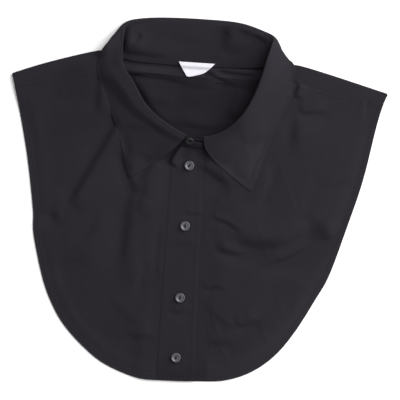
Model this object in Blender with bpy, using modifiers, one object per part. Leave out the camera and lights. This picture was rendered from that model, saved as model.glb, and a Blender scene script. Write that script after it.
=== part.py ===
"""A detachable shirt collar: a collar on a short buttoned bib, laid flat on a table.

The fronts lie on the back, the collar's front half stands over the fronts, and its back
half lies with the stand's inner face up and the fall tucked under the back's neck.
Every cloth piece starts as a grid, is placed point by point on its surface and gets its
wall from Solidify. The tables and named sizes are in millimetres, the solids in metres.
x runs to the right, y towards the neck, z up, and z = 0 is the table.
"""

import math

import bmesh
import bpy
from mathutils import Vector

MM = 0.001
COLLECTION = "detachable_shirt_collar"

# Walls and the clearances between pieces.
CLOTH_WALL = 1.0
COLLAR_WALL = 1.2
LABEL_WALL = 0.7
GAP = 0.3
LAYER_STEP = CLOTH_WALL + GAP
TABLE_LEVEL = CLOTH_WALL / 2

# The cut edge of the laid garment, from the left shoulder tip round the hem to the right one.
OUTLINE = (
    # x, y
    (-200.3, 122.0),
    (-190.3, 86.0),
    (-178.0, 35.0),
    (-168.2, -20.0),
    (-165.6, -47.0),
    (-153.5, -91.0),
    (-142.0, -118.0),
    (-127.0, -141.0),
    (-104.0, -163.5),
    (-80.0, -180.0),
    (-46.0, -191.8),
    (-15.0, -192.8),
    (20.0, -191.3),
    (48.0, -188.5),
    (75.0, -178.0),
    (99.0, -159.0),
    (119.0, -132.0),
    (138.5, -96.0),
    (151.5, -69.0),
    (166.5, -18.0),
    (180.5, 35.0),
    (192.3, 101.0),
    (200.3, 128.0),
)
LEFT_CORNER_X = -127.0
RIGHT_CORNER_X = 119.0
# The back's hem lies this far inside the fronts' hem.
BACK_INSET = 8.5

# The shoulder folds, where the back wraps forward, and the seams that join it to the fronts.
SHOULDER_FOLD = (
    # x, y
    (-201.0, 122.0),
    (-163.0, 136.7),
    (-110.5, 152.8),
    (-104.0, 150.0),
    (-96.0, 147.0),
    (-88.0, 145.0),
    (80.0, 145.0),
    (88.0, 148.5),
    (97.0, 151.0),
    (104.9, 151.6),
    (139.7, 143.7),
    (201.0, 128.0),
)
# The seams' outer ends as y on the cut edge, and their neck ends as places on the collar ring.
SEAM_TIP_Y = {"left": 109.0, "right": 106.5}
SEAM_RING = {"left": 18.65, "right": 5.35}
SEAM_TIP_REACH = 0.4
FOLD_RADIUS = 1.35
# Between these heights the fronts settle from their loose lie to the firm shoulder.
SHOULDER_SETTLES = (78.0, 108.0)
SHOULDER_LEVELS = 30.0

# The button bands down the centre front: the upper one lies on the lower one.
UPPER_BAND = {"seam": -25.0, "edge_at_neck": 9.0, "edge_at_hem": 16.0, "neck_end": 8.8}
LOWER_BAND = {"seam": 28.0, "edge": -17.0, "neck_end": -14.8}
# The upper front climbs on to the lower band in this length, ending this far from its own seam.
CLIMB = {"length": 18.0, "before_seam": 12.0}

# The collar, one row for each section, from the lower stand tab at the right round the back
# to the upper tab at the left. Each section runs from its neck seam up the stand to the rim,
# over the roll and down the fall to its edge. "wrap" is 0 where the fall lies on the fronts
# and 1 where it is tucked under the back. "roll" is how broadly the fall leaves the rim, and
# "bulge" is how far it swings outward where it goes round the end of the shoulder.
RING_COLUMNS = ("rim_x", "rim_y", "rim_z", "seam_x", "seam_y", "edge_x", "edge_y", "wrap", "roll", "bulge")
RING = (
    (-16.0, 71.8, 11.6, -15.0, 62.6, 40.0, 8.0, 0.0, 8.0, 0.0),
    (8.2, 68.3, 13.8, 9.0, 59.8, 61.0, 14.5, 0.0, 9.0, 0.0),
    (28.0, 76.5, 17.4, 35.0, 64.0, 72.5, 47.0, 0.0, 9.0, 0.0),
    (45.0, 93.0, 22.5, 60.0, 84.0, 84.5, 82.0, 0.0, 11.0, 0.0),
    (56.0, 114.0, 23.5, 75.0, 107.0, 96.0, 110.0, 0.0, 12.0, 0.0),
    (63.3, 136.5, 22.0, 81.5, 127.0, 102.5, 128.0, 0.0, 13.0, 1.0),
    (67.6, 154.0, 18.5, 82.5, 139.0, 101.5, 143.5, 0.2, 12.0, 3.2),
    (70.0, 163.0, 15.5, 79.5, 145.5, 97.0, 153.0, 0.38, 10.0, 4.8),
    (72.2, 171.0, 12.0, 73.5, 147.8, 90.0, 154.0, 0.6, 8.0, 6.6),
    (74.6, 178.5, 7.0, 67.0, 147.0, 84.0, 143.0, 0.87, 5.0, 5.0),
    (66.5, 183.9, 3.6, 58.0, 145.6, 66.0, 131.0, 1.0, 3.0, 0.5),
    (38.0, 191.8, 3.0, 38.0, 144.2, 38.0, 128.0, 1.0, 2.8, 0.0),
    (-3.0, 193.06, 3.0, -3.0, 143.0, -3.0, 127.5, 1.0, 2.8, 0.0),
    (-46.0, 191.7, 3.0, -45.0, 143.0, -46.0, 128.5, 1.0, 2.8, 0.0),
    (-73.0, 188.0, 3.4, -72.0, 144.0, -72.0, 131.0, 1.0, 3.0, 0.5),
    (-83.5, 182.5, 6.0, -82.0, 145.5, -88.5, 142.0, 0.9, 5.0, 5.0),
    (-86.3, 172.0, 9.5, -88.0, 145.0, -98.0, 152.0, 0.7, 9.0, 6.4),
    (-86.0, 164.0, 12.6, -91.0, 142.5, -105.5, 153.0, 0.45, 11.0, 5.6),
    (-85.0, 156.0, 14.6, -92.5, 138.0, -109.5, 145.0, 0.25, 12.0, 3.8),
    (-82.3, 138.0, 16.2, -92.5, 127.0, -110.0, 130.0, 0.0, 10.0, 1.0),
    (-70.0, 120.5, 16.8, -83.5, 108.0, -99.5, 105.0, 0.0, 8.0, 0.0),
    (-55.5, 98.0, 16.2, -66.0, 85.0, -88.0, 79.0, 0.0, 8.0, 0.0),
    (-35.0, 81.5, 15.8, -38.0, 65.0, -79.0, 54.0, 0.0, 8.0, 0.0),
    (-11.0, 68.7, 15.0, -9.5, 57.2, -67.5, 20.0, 0.0, 8.0, 0.0),
    (3.5, 66.0, 14.2, 9.0, 56.2, -40.0, 0.0, 0.0, 8.0, 0.0),
)
NECK_CENTRE = Vector((-5.0, 118.0))
BACK_RING = {"left": 15.0, "right": 9.0}
TABS_APART = 14.5
# The upper tab rises more steeply from its seam than the rest of the stand, up to this place from its end.
TAB_RISE = {"more": 0.42, "full": 0.6, "fades": 1.1}
# The right leaf's front edge bows towards the bands and soon comes down on to the front.
RIGHT_LEAF = {"fades": 1.3, "bow": 11.0, "lies": 0.68, "sink": 8.0}
# The stand meets the fall this far before the rim.
JOINT_BEFORE_RIM = 6.0
# Rows of cells: widely spaced on the flat, close together round the roll.
ROLL_LENGTH = 9.0
STAND_ROWS = 7
FALL_ROWS = {"roll": 7, "flat": 5}
CELLS_PER_SECTION = 3
# The stand laps over the panels' neck edge, and both lie a little clear of the layers below.
NECK_LAP = 1.5
NECK_CLEARANCE = 0.7
EDGE_CLEARANCE = 0.4
# The collar lies one layer higher over the bands: full height this far from the buttons, then down.
BAND_LIFT = {"full": 20.0, "down": 18.0}
# The share of "wrap" where a section goes from over the fronts to under the back, and how fast.
WRAP_TURN = (0.35, 0.4)
STAND_LIFT = 0.25
# How far before the rim the stand already runs the fall's way, on the front, half round and at the back.
STAND_LEAN = {"front": 3.6, "round": 6.0, "back": 2.4}

# The fall's lower edge under the back: it lifts the back's neck by its own thickness.
TUCK = {"left": -108.0, "left_full": -97.0, "right_full": 88.0, "right": 98.0}
TUCK_EDGE_Y = 121.0
TUCK_RISE_LENGTH = 6.0

# The largest folds of the fronts: a trough with a ridge along its right side.
FOLDS = (
    # start x, y, bend x, y, end x, y, breadth, depth
    (-88.0, 80.0, -113.0, 33.0, -138.0, -15.0, 9.0, 2.8),
    (-44.0, 32.0, -54.0, -20.0, -60.0, -90.0, 9.0, 2.6),
    (168.0, 15.0, 124.0, -34.0, 60.0, -38.0, 9.0, 2.6),
    (158.0, -17.0, 112.0, -50.0, 72.0, -66.0, 9.0, 2.4),
    (-101.0, -128.0, -70.0, -158.0, -40.0, -151.0, 9.0, 1.8),
    (62.0, -136.0, 36.0, -122.0, 12.0, -103.0, 9.0, 1.8),
)
# The fronts swell away from their edges and from the bands, and lie on the table at their hem.
PUFF = 2.4
PUFF_LENGTH = 45.0
BAND_SETTLES = {"flat": 18.0, "rise": 35.0}
EDGE_SETTLES = 8.0
LAYER_AIR = 0.5
# Cells of the fronts, the bands and the back, and the share of a front's top that is shoulder seam.
FRONT_CELLS = (18, 24)
UPPER_BAND_CELLS = (3, 20)
LOWER_BAND_CELLS = (4, 20)
BACK_COLUMNS = 32
BACK_ROWS = 12
# Shares of the strip past the back's last flat row, close together round the fold.
STRIP_ROWS = (0.0, 0.05, 0.1, 0.15, 0.21, 0.36, 0.56, 0.78, 1.0)
TOP_SEAM_SHARE = 0.5
BACK_SEAM_SHARE = 0.27
BACK_NECK_SHARE = 0.08
# The back's last flat row lies this far below its top edge, and nearer at the tips.
BASE_BELOW_TOP = 10.0
BASE_SPREAD = 4.0

LABEL = {
    "top_y": 146.6,
    "left": -24.0,
    "right": 14.5,
    "foot_left": -14.0,
    "foot_right": 4.0,
    "drop": 16.5,
    "rounding": 2.0,
    "on_stand_y": 139.0,
    "step": 4.0,
    "cells": 6,
}

BUTTON = {"radius": 5.0, "height": 2.4, "rim": 0.7, "well": 3.2, "well_depth": 1.0, "segments": 20}
BUTTON_X = -5.2
BUTTON_Y = (37.0, -27.3, -103.6, -167.2)
BUTTON_FOOT = 4.0
NECK_BUTTON = {"x": -8.2, "up": 0.76, "stand_off": 1.5, "lean": 0.45, "size": 0.88}

# Colours and finish: linear colour, roughness, metallic.
FINISHES = {
    "black_poplin": ((0.026, 0.022, 0.029), 0.85, 0.0),
    "label_satin": ((0.62, 0.61, 0.66), 0.6, 0.0),
    "smoke_resin": ((0.05, 0.048, 0.055), 0.25, 0.0),
}


def mix(a, b, share):
    return a + (b - a) * share


def ease(value):
    """0 below 0, 1 above 1, and a smooth step between."""
    value = min(max(value, 0.0), 1.0)
    return value * value * (3.0 - 2.0 * value)


def catmull(rows, place):
    """The row at a fractional place, on a smooth curve through all the rows."""
    place = min(max(place, 0.0), len(rows) - 1.0)
    start = min(int(place), len(rows) - 2)
    t = place - start
    before = rows[max(start - 1, 0)]
    here = rows[start]
    after = rows[start + 1]
    beyond = rows[min(start + 2, len(rows) - 1)]
    found = []
    for a, b, c, d in zip(before, here, after, beyond):
        curve = 2 * b + (c - a) * t + (2 * a - 5 * b + 4 * c - d) * t**2 + (3 * b - a - 3 * c + d) * t**3
        found.append(0.5 * curve)
    return found


def bezier(start, first, second, end, t):
    s = 1.0 - t
    return start * s**3 + first * (3 * s * s * t) + second * (3 * s * t * t) + end * t**3


def read_line(line, x):
    """The height of a line of (x, y) points at x."""
    if x <= line[0][0]:
        return line[0][1]
    for (x0, y0), (x1, y1) in zip(line, line[1:]):
        if x <= x1:
            return mix(y0, y1, (x - x0) / (x1 - x0))
    return line[-1][1]


class Route:
    """A smooth plan curve that is read by its share of length."""

    STEPS = 10

    def __init__(self, rows):
        count = (len(rows) - 1) * self.STEPS
        self.points = [Vector(catmull(rows, i / self.STEPS)) for i in range(count + 1)]
        self.reach = [0.0]
        for a, b in zip(self.points, self.points[1:]):
            self.reach.append(self.reach[-1] + (b - a).length)

    def at(self, share):
        target = min(max(share, 0.0), 1.0) * self.reach[-1]
        for i in range(1, len(self.reach)):
            if self.reach[i] >= target:
                step = (target - self.reach[i - 1]) / (self.reach[i] - self.reach[i - 1])
                return self.points[i - 1].lerp(self.points[i], step)
        return self.points[-1].copy()

    def share_where(self, test):
        """The share of the first point that passes the test."""
        for point, reach in zip(self.points, self.reach):
            if test(point):
                return reach / self.reach[-1]
        raise ValueError("no point of the route passes the test")

    def distance(self, spot):
        nearest = 1e9
        for a, b in zip(self.points, self.points[1:]):
            run = b - a
            t = min(max((spot - a).dot(run) / run.length_squared, 0.0), 1.0)
            nearest = min(nearest, (spot - a - run * t).length)
        return nearest


EDGE = Route(OUTLINE)
FOLD_LINE = Route(SHOULDER_FOLD)
FOLD_POINTS = [(p.x, p.y) for p in FOLD_LINE.points]


# Heights of the layers, all to the middle of the cloth.


def near_shoulder(y):
    """1 at the shoulders and 0 below them."""
    low, high = SHOULDER_SETTLES
    return ease((y - low) / (high - low))


def back_height(x, y):
    """The back panel: on the table, and raised where the collar's fall lies under it."""
    across = ease((x - TUCK["left"]) / (TUCK["left_full"] - TUCK["left"]))
    across *= ease((TUCK["right"] - x) / (TUCK["right"] - TUCK["right_full"]))
    up = ease((y - TUCK_EDGE_Y) / TUCK_RISE_LENGTH)
    return TABLE_LEVEL + (COLLAR_WALL + GAP + 0.2) * across * up


def fold_centre_y(x):
    """Where the shoulder fold's round edge is centred."""
    return read_line(FOLD_POINTS, x) - CLOTH_WALL / 2 - FOLD_RADIUS


def fold_height(spot, fold):
    """A trough and its ridge, fading out at both ends."""
    start, bend, end = Vector(fold[0:2]), Vector(fold[2:4]), Vector(fold[4:6])
    breadth, depth = fold[6:8]
    steps = 12
    best, side, share = 1e9, 0.0, 0.0
    last = start
    for i in range(1, steps + 1):
        t = i / steps
        here = start * (1 - t) ** 2 + bend * (2 * t * (1 - t)) + end * t**2
        run = here - last
        along = min(max((spot - last).dot(run) / run.length_squared, 0.0), 1.0)
        off = spot - last - run * along
        if off.length < best:
            best = off.length
            side = math.copysign(off.length, run.x * off.y - run.y * off.x)
            share = (i - 1 + along) / steps
        last = here
    fade = ease(4 * share) * ease(4 * (1 - share))
    trough = -math.exp(-((side / breadth) ** 2))
    ridge = math.exp(-(((side - 1.7 * breadth) / breadth) ** 2))
    return depth * fade * (0.8 * trough + ridge)


def front_height(x, y):
    """The fronts and the shoulder strips: over the back, and down to the table past its edge."""
    spot = Vector((x, y))
    off_edge = EDGE.distance(spot)
    inner = ease(off_edge / PUFF_LENGTH) * (1.0 - near_shoulder(y))
    inner *= ease((abs(x - BUTTON_X) - BAND_SETTLES["flat"]) / BAND_SETTLES["rise"])
    folds = sum(fold_height(spot, fold) for fold in FOLDS) * inner
    to_fold = fold_centre_y(x) - y
    shoulder = (2 * FOLD_RADIUS - LAYER_STEP) * (1.0 - ease(to_fold / SHOULDER_LEVELS))
    height = back_height(x, y) + LAYER_STEP + max(LAYER_AIR, shoulder) + PUFF * inner + folds
    settle = (1.0 - near_shoulder(y)) * (1.0 - ease(off_edge / EDGE_SETTLES))
    return mix(height, TABLE_LEVEL, settle)


def upper_band_height(x, y):
    """One layer above the lower band."""
    return front_height(x, y) + LAYER_STEP


def right_front_height(x, y):
    """The upper front climbs on to the lower band at its seam."""
    start = UPPER_BAND["seam"] - CLIMB["before_seam"] - CLIMB["length"]
    climb = ease((x - start) / CLIMB["length"])
    return front_height(x, y) + LAYER_STEP * climb


# The collar.


def ring_row(place):
    """The table's row at a fractional place, by column name."""
    return dict(zip(RING_COLUMNS, catmull(RING, place)))


COLLAR_LIFT = CLOTH_WALL / 2 + GAP + COLLAR_WALL / 2


def band_step(x):
    """The step that a piece takes over the bands."""
    return LAYER_STEP * (1.0 - ease((abs(x - BUTTON_X) - BAND_LIFT["full"]) / BAND_LIFT["down"]))


def over_height(x, y):
    """The middle of a collar wall that lies on the fronts."""
    return front_height(x, y) + band_step(x) + COLLAR_LIFT


def tuck_share(wrap):
    """0 where a section lies over the fronts, 1 where it lies under the back."""
    start, length = WRAP_TURN
    return ease((wrap - start) / length)


def seam_points(place):
    """The stand's lowest point, and the panels' neck edge beside it, in plan."""
    row = ring_row(place)
    seam = Vector((row["seam_x"], row["seam_y"]))
    out = (seam - NECK_CENTRE).normalized()
    wrap = min(max(row["wrap"], 0.0), 1.0)
    lap = NECK_LAP * (1.0 - 8.0 * wrap * (1.0 - wrap))
    return seam, seam - out * lap


def section(place):
    """The two Bezier halves of a collar section: neck seam to rim, and rim to edge."""
    row = ring_row(place)
    wrap = min(max(row["wrap"], 0.0), 1.0)
    tuck = tuck_share(wrap)
    seam = Vector((row["seam_x"], row["seam_y"]))
    rim = Vector((row["rim_x"], row["rim_y"], row["rim_z"]))
    edge = Vector((row["edge_x"], row["edge_y"]))

    band = band_step(seam.x) if place > len(RING) / 2 else 0.0
    seam_front = front_height(seam.x, seam.y) + band + COLLAR_LIFT + NECK_CLEARANCE
    seam_back = back_height(seam.x, seam.y) + COLLAR_LIFT
    seam = seam.to_3d()
    seam.z = mix(seam_front, seam_back, tuck)

    edge = edge.to_3d()
    edge.z = mix(over_height(edge.x, edge.y) + EDGE_CLEARANCE, COLLAR_WALL / 2, tuck)

    ahead, behind = ring_row(place + 0.05), ring_row(place - 0.05)
    along = Vector((ahead["rim_x"] - behind["rim_x"], ahead["rim_y"] - behind["rim_y"], 0.0)).normalized()
    out = Vector((along.y, -along.x, 0.0))
    if out.dot(rim - NECK_CENTRE.to_3d()) < 0:
        out = -out
    towards = (edge - rim) * Vector((1, 1, 0))
    towards.normalize()
    away = (towards * (1.0 - ease(2 * wrap)) + out * ease(2 * wrap)).normalized()
    turn = wrap * math.pi / 2
    over = away * math.cos(turn) - Vector((0, 0, math.sin(turn)))

    rise = seam.lerp(rim, 0.35)
    rise.z = mix(rise.z, seam.z, wrap)
    from_end = len(RING) - 1.0 - place - TAB_RISE["full"]
    rise.z += TAB_RISE["more"] * (1.0 - ease(from_end / TAB_RISE["fades"])) * (rim.z - seam.z)
    lean = rim - over * (
        mix(STAND_LEAN["front"], STAND_LEAN["back"], wrap)
        + 4.0 * wrap * (1.0 - wrap) * (STAND_LEAN["round"] - STAND_LEAN["front"])
    )
    bulge = out * max(row["bulge"], 0.0)
    free = 1.0 - ease((place - 1.0) / RIGHT_LEAF["fades"])
    bow = Vector((towards.y, -towards.x, 0.0)) * (RIGHT_LEAF["bow"] * free)
    lies = mix(0.38, RIGHT_LEAF["lies"], free) * ((edge - rim) * Vector((1, 1, 0))).length
    roll = rim + over * row["roll"] + bulge + bow
    lie = edge - towards * lies + bulge + bow - Vector((0, 0, RIGHT_LEAF["sink"] * free))
    return (seam, rise, lean, rim), (rim, roll, lie, edge)


class Section:
    """One collar section, read by its length from the neck seam."""

    STEPS = 24

    def __init__(self, place):
        stand, fall = section(place)
        wrap = ring_row(place)["wrap"]
        steps = [i / self.STEPS for i in range(self.STEPS + 1)]
        self.points = [bezier(*stand, t) for t in steps]
        self.points += [clear_of_layers(bezier(*fall, t), wrap) for t in steps[1:]]
        self.reach = [0.0]
        for a, b in zip(self.points, self.points[1:]):
            self.reach.append(self.reach[-1] + (b - a).length)
        self.rim = self.reach[self.STEPS]
        self.joint = self.rim - JOINT_BEFORE_RIM

    def at(self, length):
        for i in range(1, len(self.reach)):
            if self.reach[i] >= length:
                share = (length - self.reach[i - 1]) / (self.reach[i] - self.reach[i - 1])
                return self.points[i - 1].lerp(self.points[i], share)
        return self.points[-1].copy()


def clear_of_layers(point, wrap):
    """Keeps the fall above the fronts, or above the table."""
    lowest = over_height(point.x, point.y) if wrap < 0.3 else COLLAR_WALL / 2
    point.z = max(point.z, lowest)
    return point


def two_paces(row, start, turn, end, first, second):
    """The length of a row: "first" even rows from start to turn, then "second" even rows to end."""
    if row <= first:
        return mix(start, turn, row / first)
    return mix(turn, end, (row - first) / second)


# Solids.


def new_material(name):
    colour, roughness, metallic = FINISHES[name]
    material = bpy.data.materials.new(name)
    material.use_nodes = True
    shader = material.node_tree.nodes["Principled BSDF"]
    shader.inputs["Base Color"].default_value = (*colour, 1.0)
    shader.inputs["Roughness"].default_value = roughness
    shader.inputs["Metallic"].default_value = metallic
    material.diffuse_color = (*colour, 1.0)
    return material


def new_object(name, mesh, material, collection):
    obj = bpy.data.objects.new(name, mesh)
    obj.data.materials.append(material)
    collection.objects.link(obj)
    return obj


def cloth(name, columns, rows, place, wall, material, collection):
    """A sheet of columns by rows cells, placed by place(u, v) and given its wall."""
    mesh = bpy.data.meshes.new(name)
    sheet = bmesh.new()
    bmesh.ops.create_grid(sheet, x_segments=columns, y_segments=rows, size=0.5)
    for vert in sheet.verts:
        vert.co = place(vert.co.x + 0.5, vert.co.y + 0.5) * MM
    sheet.to_mesh(mesh)
    sheet.free()
    mesh.shade_smooth()
    obj = new_object(name, mesh, material, collection)
    solidify = obj.modifiers.new("wall", "SOLIDIFY")
    solidify.thickness = wall * MM
    solidify.offset = 0.0
    return obj


def coons(u, v, low, high, left, right):
    """A plan point between four edges, each read by its share."""
    across = low(u) * (1 - v) + high(u) * v
    up = left(v) * (1 - u) + right(v) * u
    corners = low(0) * (1 - u) * (1 - v) + low(1) * u * (1 - v) + high(0) * (1 - u) * v + high(1) * u * v
    return across + up - corners


def hem_y(x):
    """The hem's height at x, along the bottom of the outline."""
    bottom = [(p.x, p.y) for p in EDGE.points if p.y < 0]
    return read_line(bottom, x)


def neck_share(side, x):
    """The ring place, on the left or right front half, where the panels' neck edge passes x."""
    low, high = (len(RING) - 6.0, len(RING) - 1.0) if side == "left" else (0.0, 5.0)
    for _ in range(40):
        middle = (low + high) / 2
        if seam_points(middle)[1].x < x:
            low = middle
        else:
            high = middle
    return low


def neck_y(side, x):
    return seam_points(neck_share(side, x))[1].y


def seam_line(side):
    """The shoulder seam in plan: its tip on the cut edge and its neck end."""
    if side == "left":
        tip = EDGE.at(EDGE.share_where(lambda p: p.y < SEAM_TIP_Y["left"]))
    else:
        tip = EDGE.at(EDGE.share_where(lambda p: p.x > 150 and p.y > SEAM_TIP_Y["right"]))
    return tip, seam_points(SEAM_RING[side])[1]


def crowd(share):
    """Shares drawn towards both ends, so that cells are small along the edges."""
    return share - 0.08 * math.sin(2 * math.pi * share)


def make_front(name, side, band_x, corner_x, height, material, collection):
    """A front: its side edge, hem, band seam, and a top of shoulder seam and neck."""
    down = Vector((0.0, -GAP / 2))
    tip, neck = seam_line(side)
    at_seam, at_band = SEAM_RING[side], neck_share(side, band_x)
    tip_share = EDGE.share_where(lambda p: (p - tip).length < SEAM_TIP_REACH)
    corner_share = EDGE.share_where(lambda p: p.x > corner_x)
    band_share = EDGE.share_where(lambda p: p.x > band_x)
    band_foot = Vector((band_x, hem_y(band_x)))
    band_head = seam_points(at_band)[1]

    def top(u):
        if u < TOP_SEAM_SHARE:
            return tip.lerp(neck, u / TOP_SEAM_SHARE) + down
        run = (u - TOP_SEAM_SHARE) / (1 - TOP_SEAM_SHARE)
        return seam_points(mix(at_seam, at_band, run))[1] + down * (1 - run)

    def hem(s):
        return EDGE.at(mix(corner_share, band_share, s)) if s < 1 else band_foot

    def side_edge(s):
        return EDGE.at(mix(corner_share, tip_share, s)) if s < 1 else tip + down

    def band_edge(s):
        return band_foot.lerp(band_head, s)

    def place(u, v):
        u = crowd(u if side == "left" else 1.0 - u)
        plan = coons(u, crowd(v), hem, top, side_edge, band_edge)
        return Vector((plan.x, plan.y, height(plan.x, plan.y)))

    return cloth(name, *FRONT_CELLS, place, CLOTH_WALL, material, collection)


def make_upper_band(material, collection):
    left = UPPER_BAND["seam"] + GAP / 2

    def place(u, v):
        right = mix(UPPER_BAND["edge_at_hem"], UPPER_BAND["edge_at_neck"], v)
        x = mix(left, right, u)
        y = mix(hem_y(x), neck_y("left", min(x, UPPER_BAND["neck_end"])), v)
        return Vector((x, y, upper_band_height(x, y)))

    return cloth("right_button_band", *UPPER_BAND_CELLS, place, CLOTH_WALL, material, collection)


def make_lower_band(material, collection):
    right = LOWER_BAND["seam"] - GAP / 2

    def place(u, v):
        x = mix(LOWER_BAND["edge"], right, u)
        y = mix(hem_y(x), neck_y("right", max(x, LOWER_BAND["neck_end"])), v)
        return Vector((x, y, front_height(x, y)))

    return cloth("left_button_band", *LOWER_BAND_CELLS, place, CLOTH_WALL, material, collection)


def fold_place(x, along):
    """The back panel's point at x, a distance along its cloth past the start of the shoulder fold."""
    centre = fold_centre_y(x)
    turn = math.pi * FOLD_RADIUS
    low = back_height(x, centre)
    if along <= 0:
        return Vector((x, centre + along, back_height(x, centre + along)))
    if along < turn:
        angle = along / FOLD_RADIUS
        return Vector((x, centre + FOLD_RADIUS * math.sin(angle), low + FOLD_RADIUS * (1 - math.cos(angle))))
    y = centre - (along - turn)
    return Vector((x, y, front_height(x, y)))


def make_back(material, collection):
    """The back, with the strips that wrap forward over the shoulders to the front seams."""
    turn = math.pi * FOLD_RADIUS
    corner_left = EDGE.share_where(lambda p: p.x > LEFT_CORNER_X)
    corner_right = EDGE.share_where(lambda p: p.x > RIGHT_CORNER_X)

    def inset(share):
        here = EDGE.at(share)
        run = EDGE.at(min(share + 0.004, 1.0)) - EDGE.at(max(share - 0.004, 0.0))
        inward = Vector((-run.y, run.x)).normalized()
        return here + inward * BACK_INSET * (1.0 - near_shoulder(here.y))

    def neck_in_cloth(place):
        """The neck edge as x and the distance along the cloth past the fold's start."""
        edge = seam_points(place)[1]
        centre = fold_centre_y(edge.x)
        upper = turn + max(centre - edge.y, 0.0)
        lower = min(edge.y - centre, 0.0)
        return Vector((edge.x, mix(upper, lower, tuck_share(ring_row(place)["wrap"]))))

    def seam_in_cloth(side, share):
        tip, end = seam_line(side)
        here = tip.lerp(end, share)
        return Vector((here.x, turn + fold_centre_y(here.x) - here.y - GAP / 2))

    def half_top(side, share):
        """From the shoulder tip (0) along the seam and round the neck to its middle (1)."""
        seam_end = 2 * BACK_SEAM_SHARE
        round_end = seam_end + 2 * BACK_NECK_SHARE
        if share < seam_end:
            return seam_in_cloth(side, share / seam_end)
        if share < round_end:
            round_share = (share - seam_end) / (round_end - seam_end)
            return neck_in_cloth(mix(SEAM_RING[side], BACK_RING[side], round_share))
        middle = (BACK_RING["left"] + BACK_RING["right"]) / 2
        return neck_in_cloth(mix(BACK_RING[side], middle, (share - round_end) / (1 - round_end)))

    def top(u):
        """The top edge in cloth coordinates: left seam, neck, right seam."""
        return half_top("left", 2 * u) if u < 0.5 else half_top("right", 2 - 2 * u)

    def base(u):
        """The last row of the flat part in cloth coordinates."""
        end = top(u)
        from_tip = min(u, 1.0 - u) / BACK_SEAM_SHARE
        x = end.x
        if from_tip < 1.0:
            tip_x = EDGE.points[0].x if u < 0.5 else EDGE.points[-1].x
            neck_x = top(BACK_SEAM_SHARE if u < 0.5 else 1.0 - BACK_SEAM_SHARE).x
            x = mix(tip_x, neck_x, from_tip)
        spread = BASE_SPREAD * ease(1.0 - from_tip)
        return Vector((x, min(end.y - BASE_BELOW_TOP + spread, -1.0)))

    def base_plan(u):
        here = base(u)
        return Vector((here.x, fold_centre_y(here.x) + here.y))

    def hem(s):
        return inset(mix(corner_left, corner_right, s))

    def left_edge(s):
        return inset(mix(corner_left, 0.0, s)) if s < 1 else base_plan(0.0)

    def right_edge(s):
        return inset(mix(corner_right, 1.0, s)) if s < 1 else base_plan(1.0)

    rows = BACK_ROWS + len(STRIP_ROWS) - 1

    def place(u, v):
        row = round(v * rows)
        if row <= BACK_ROWS:
            plan = coons(u, row / BACK_ROWS, hem, base_plan, left_edge, right_edge)
            return Vector((plan.x, plan.y, back_height(plan.x, plan.y)))
        here = base(u).lerp(top(u), STRIP_ROWS[row - BACK_ROWS])
        return fold_place(here.x, here.y)

    return cloth("back_panel", BACK_COLUMNS, rows, place, CLOTH_WALL, material, collection)


def make_stand(material, collection):
    sections = {}

    def place(u, v):
        ring = mix(0.0, len(RING) - 1.0, u)
        here = sections.setdefault(round(ring, 6), Section(ring))
        return here.at(v * (here.joint - GAP))

    columns = CELLS_PER_SECTION * (len(RING) - 1)
    return cloth("collar_stand", columns, STAND_ROWS, place, COLLAR_WALL, material, collection)


def make_fall(material, collection):
    rows = FALL_ROWS["roll"] + FALL_ROWS["flat"]
    sections = {}

    def place(u, v):
        ring = mix(1.0, len(RING) - 2.0, u)
        here = sections.setdefault(round(ring, 6), Section(ring))
        start = here.joint + GAP
        turn = here.rim + ROLL_LENGTH
        end = here.reach[-1]
        return here.at(two_paces(round(v * rows), start, turn, end, FALL_ROWS["roll"], FALL_ROWS["flat"]))

    columns = CELLS_PER_SECTION * (len(RING) - 3)
    return cloth("collar_fall", columns, rows, place, COLLAR_WALL, material, collection)


def make_label(material, collection):
    """A bare woven label whose top edge is caught on the stand and which hangs over the back."""
    lift = LABEL_WALL / 2 + GAP

    def place(u, v):
        left = mix(LABEL["foot_left"], LABEL["left"], v)
        right = mix(LABEL["foot_right"], LABEL["right"], v)
        x = mix(left, right, u)
        corner = (2 * u - 1) ** 4 * (1 - v) ** 2
        y = LABEL["top_y"] - LABEL["drop"] * (1 - v) + LABEL["rounding"] * corner
        on_stand = ease((y - LABEL["on_stand_y"]) / LABEL["step"])
        ground = back_height(x, y) + CLOTH_WALL / 2
        return Vector((x, y, ground + lift + on_stand * (COLLAR_WALL + GAP + STAND_LIFT)))

    cells = LABEL["cells"]
    return cloth("neck_label", cells, cells, place, LABEL_WALL, material, collection)


def button_mesh(size):
    """A turned button: a raised rim round a dished middle, profile from the top's centre to the base's."""
    radius, height, rim = BUTTON["radius"] * size, BUTTON["height"] * size, BUTTON["rim"]
    well, depth = BUTTON["well"] * size, BUTTON["well_depth"] * size
    profile = (
        (0.0, height - depth),
        (well * 0.7, height - depth),
        (well, height - 0.25 * depth),
        (radius - rim, height),
        (radius, height - rim),
        (radius, rim * 0.6),
        (radius - rim, 0.0),
        (0.0, 0.0),
    )
    mesh = bpy.data.meshes.new("button")
    points = [(x * MM, 0.0, z * MM) for x, z in profile]
    edges = [(i, i + 1) for i in range(len(points) - 1)]
    mesh.from_pydata(points, edges, [])
    return mesh


def make_button(name, seat, normal, material, collection, size=1.0):
    obj = new_object(name, button_mesh(size), material, collection)
    screw = obj.modifiers.new("turn", "SCREW")
    screw.steps = BUTTON["segments"]
    screw.render_steps = BUTTON["segments"]
    screw.use_merge_vertices = True
    screw.merge_threshold = 0.0001
    screw.use_smooth_shade = True
    obj.location = (seat + normal * (CLOTH_WALL / 2 + GAP)) * MM
    obj.rotation_mode = "QUATERNION"
    obj.rotation_quaternion = normal.to_track_quat("Z", "Y")
    return obj


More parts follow.
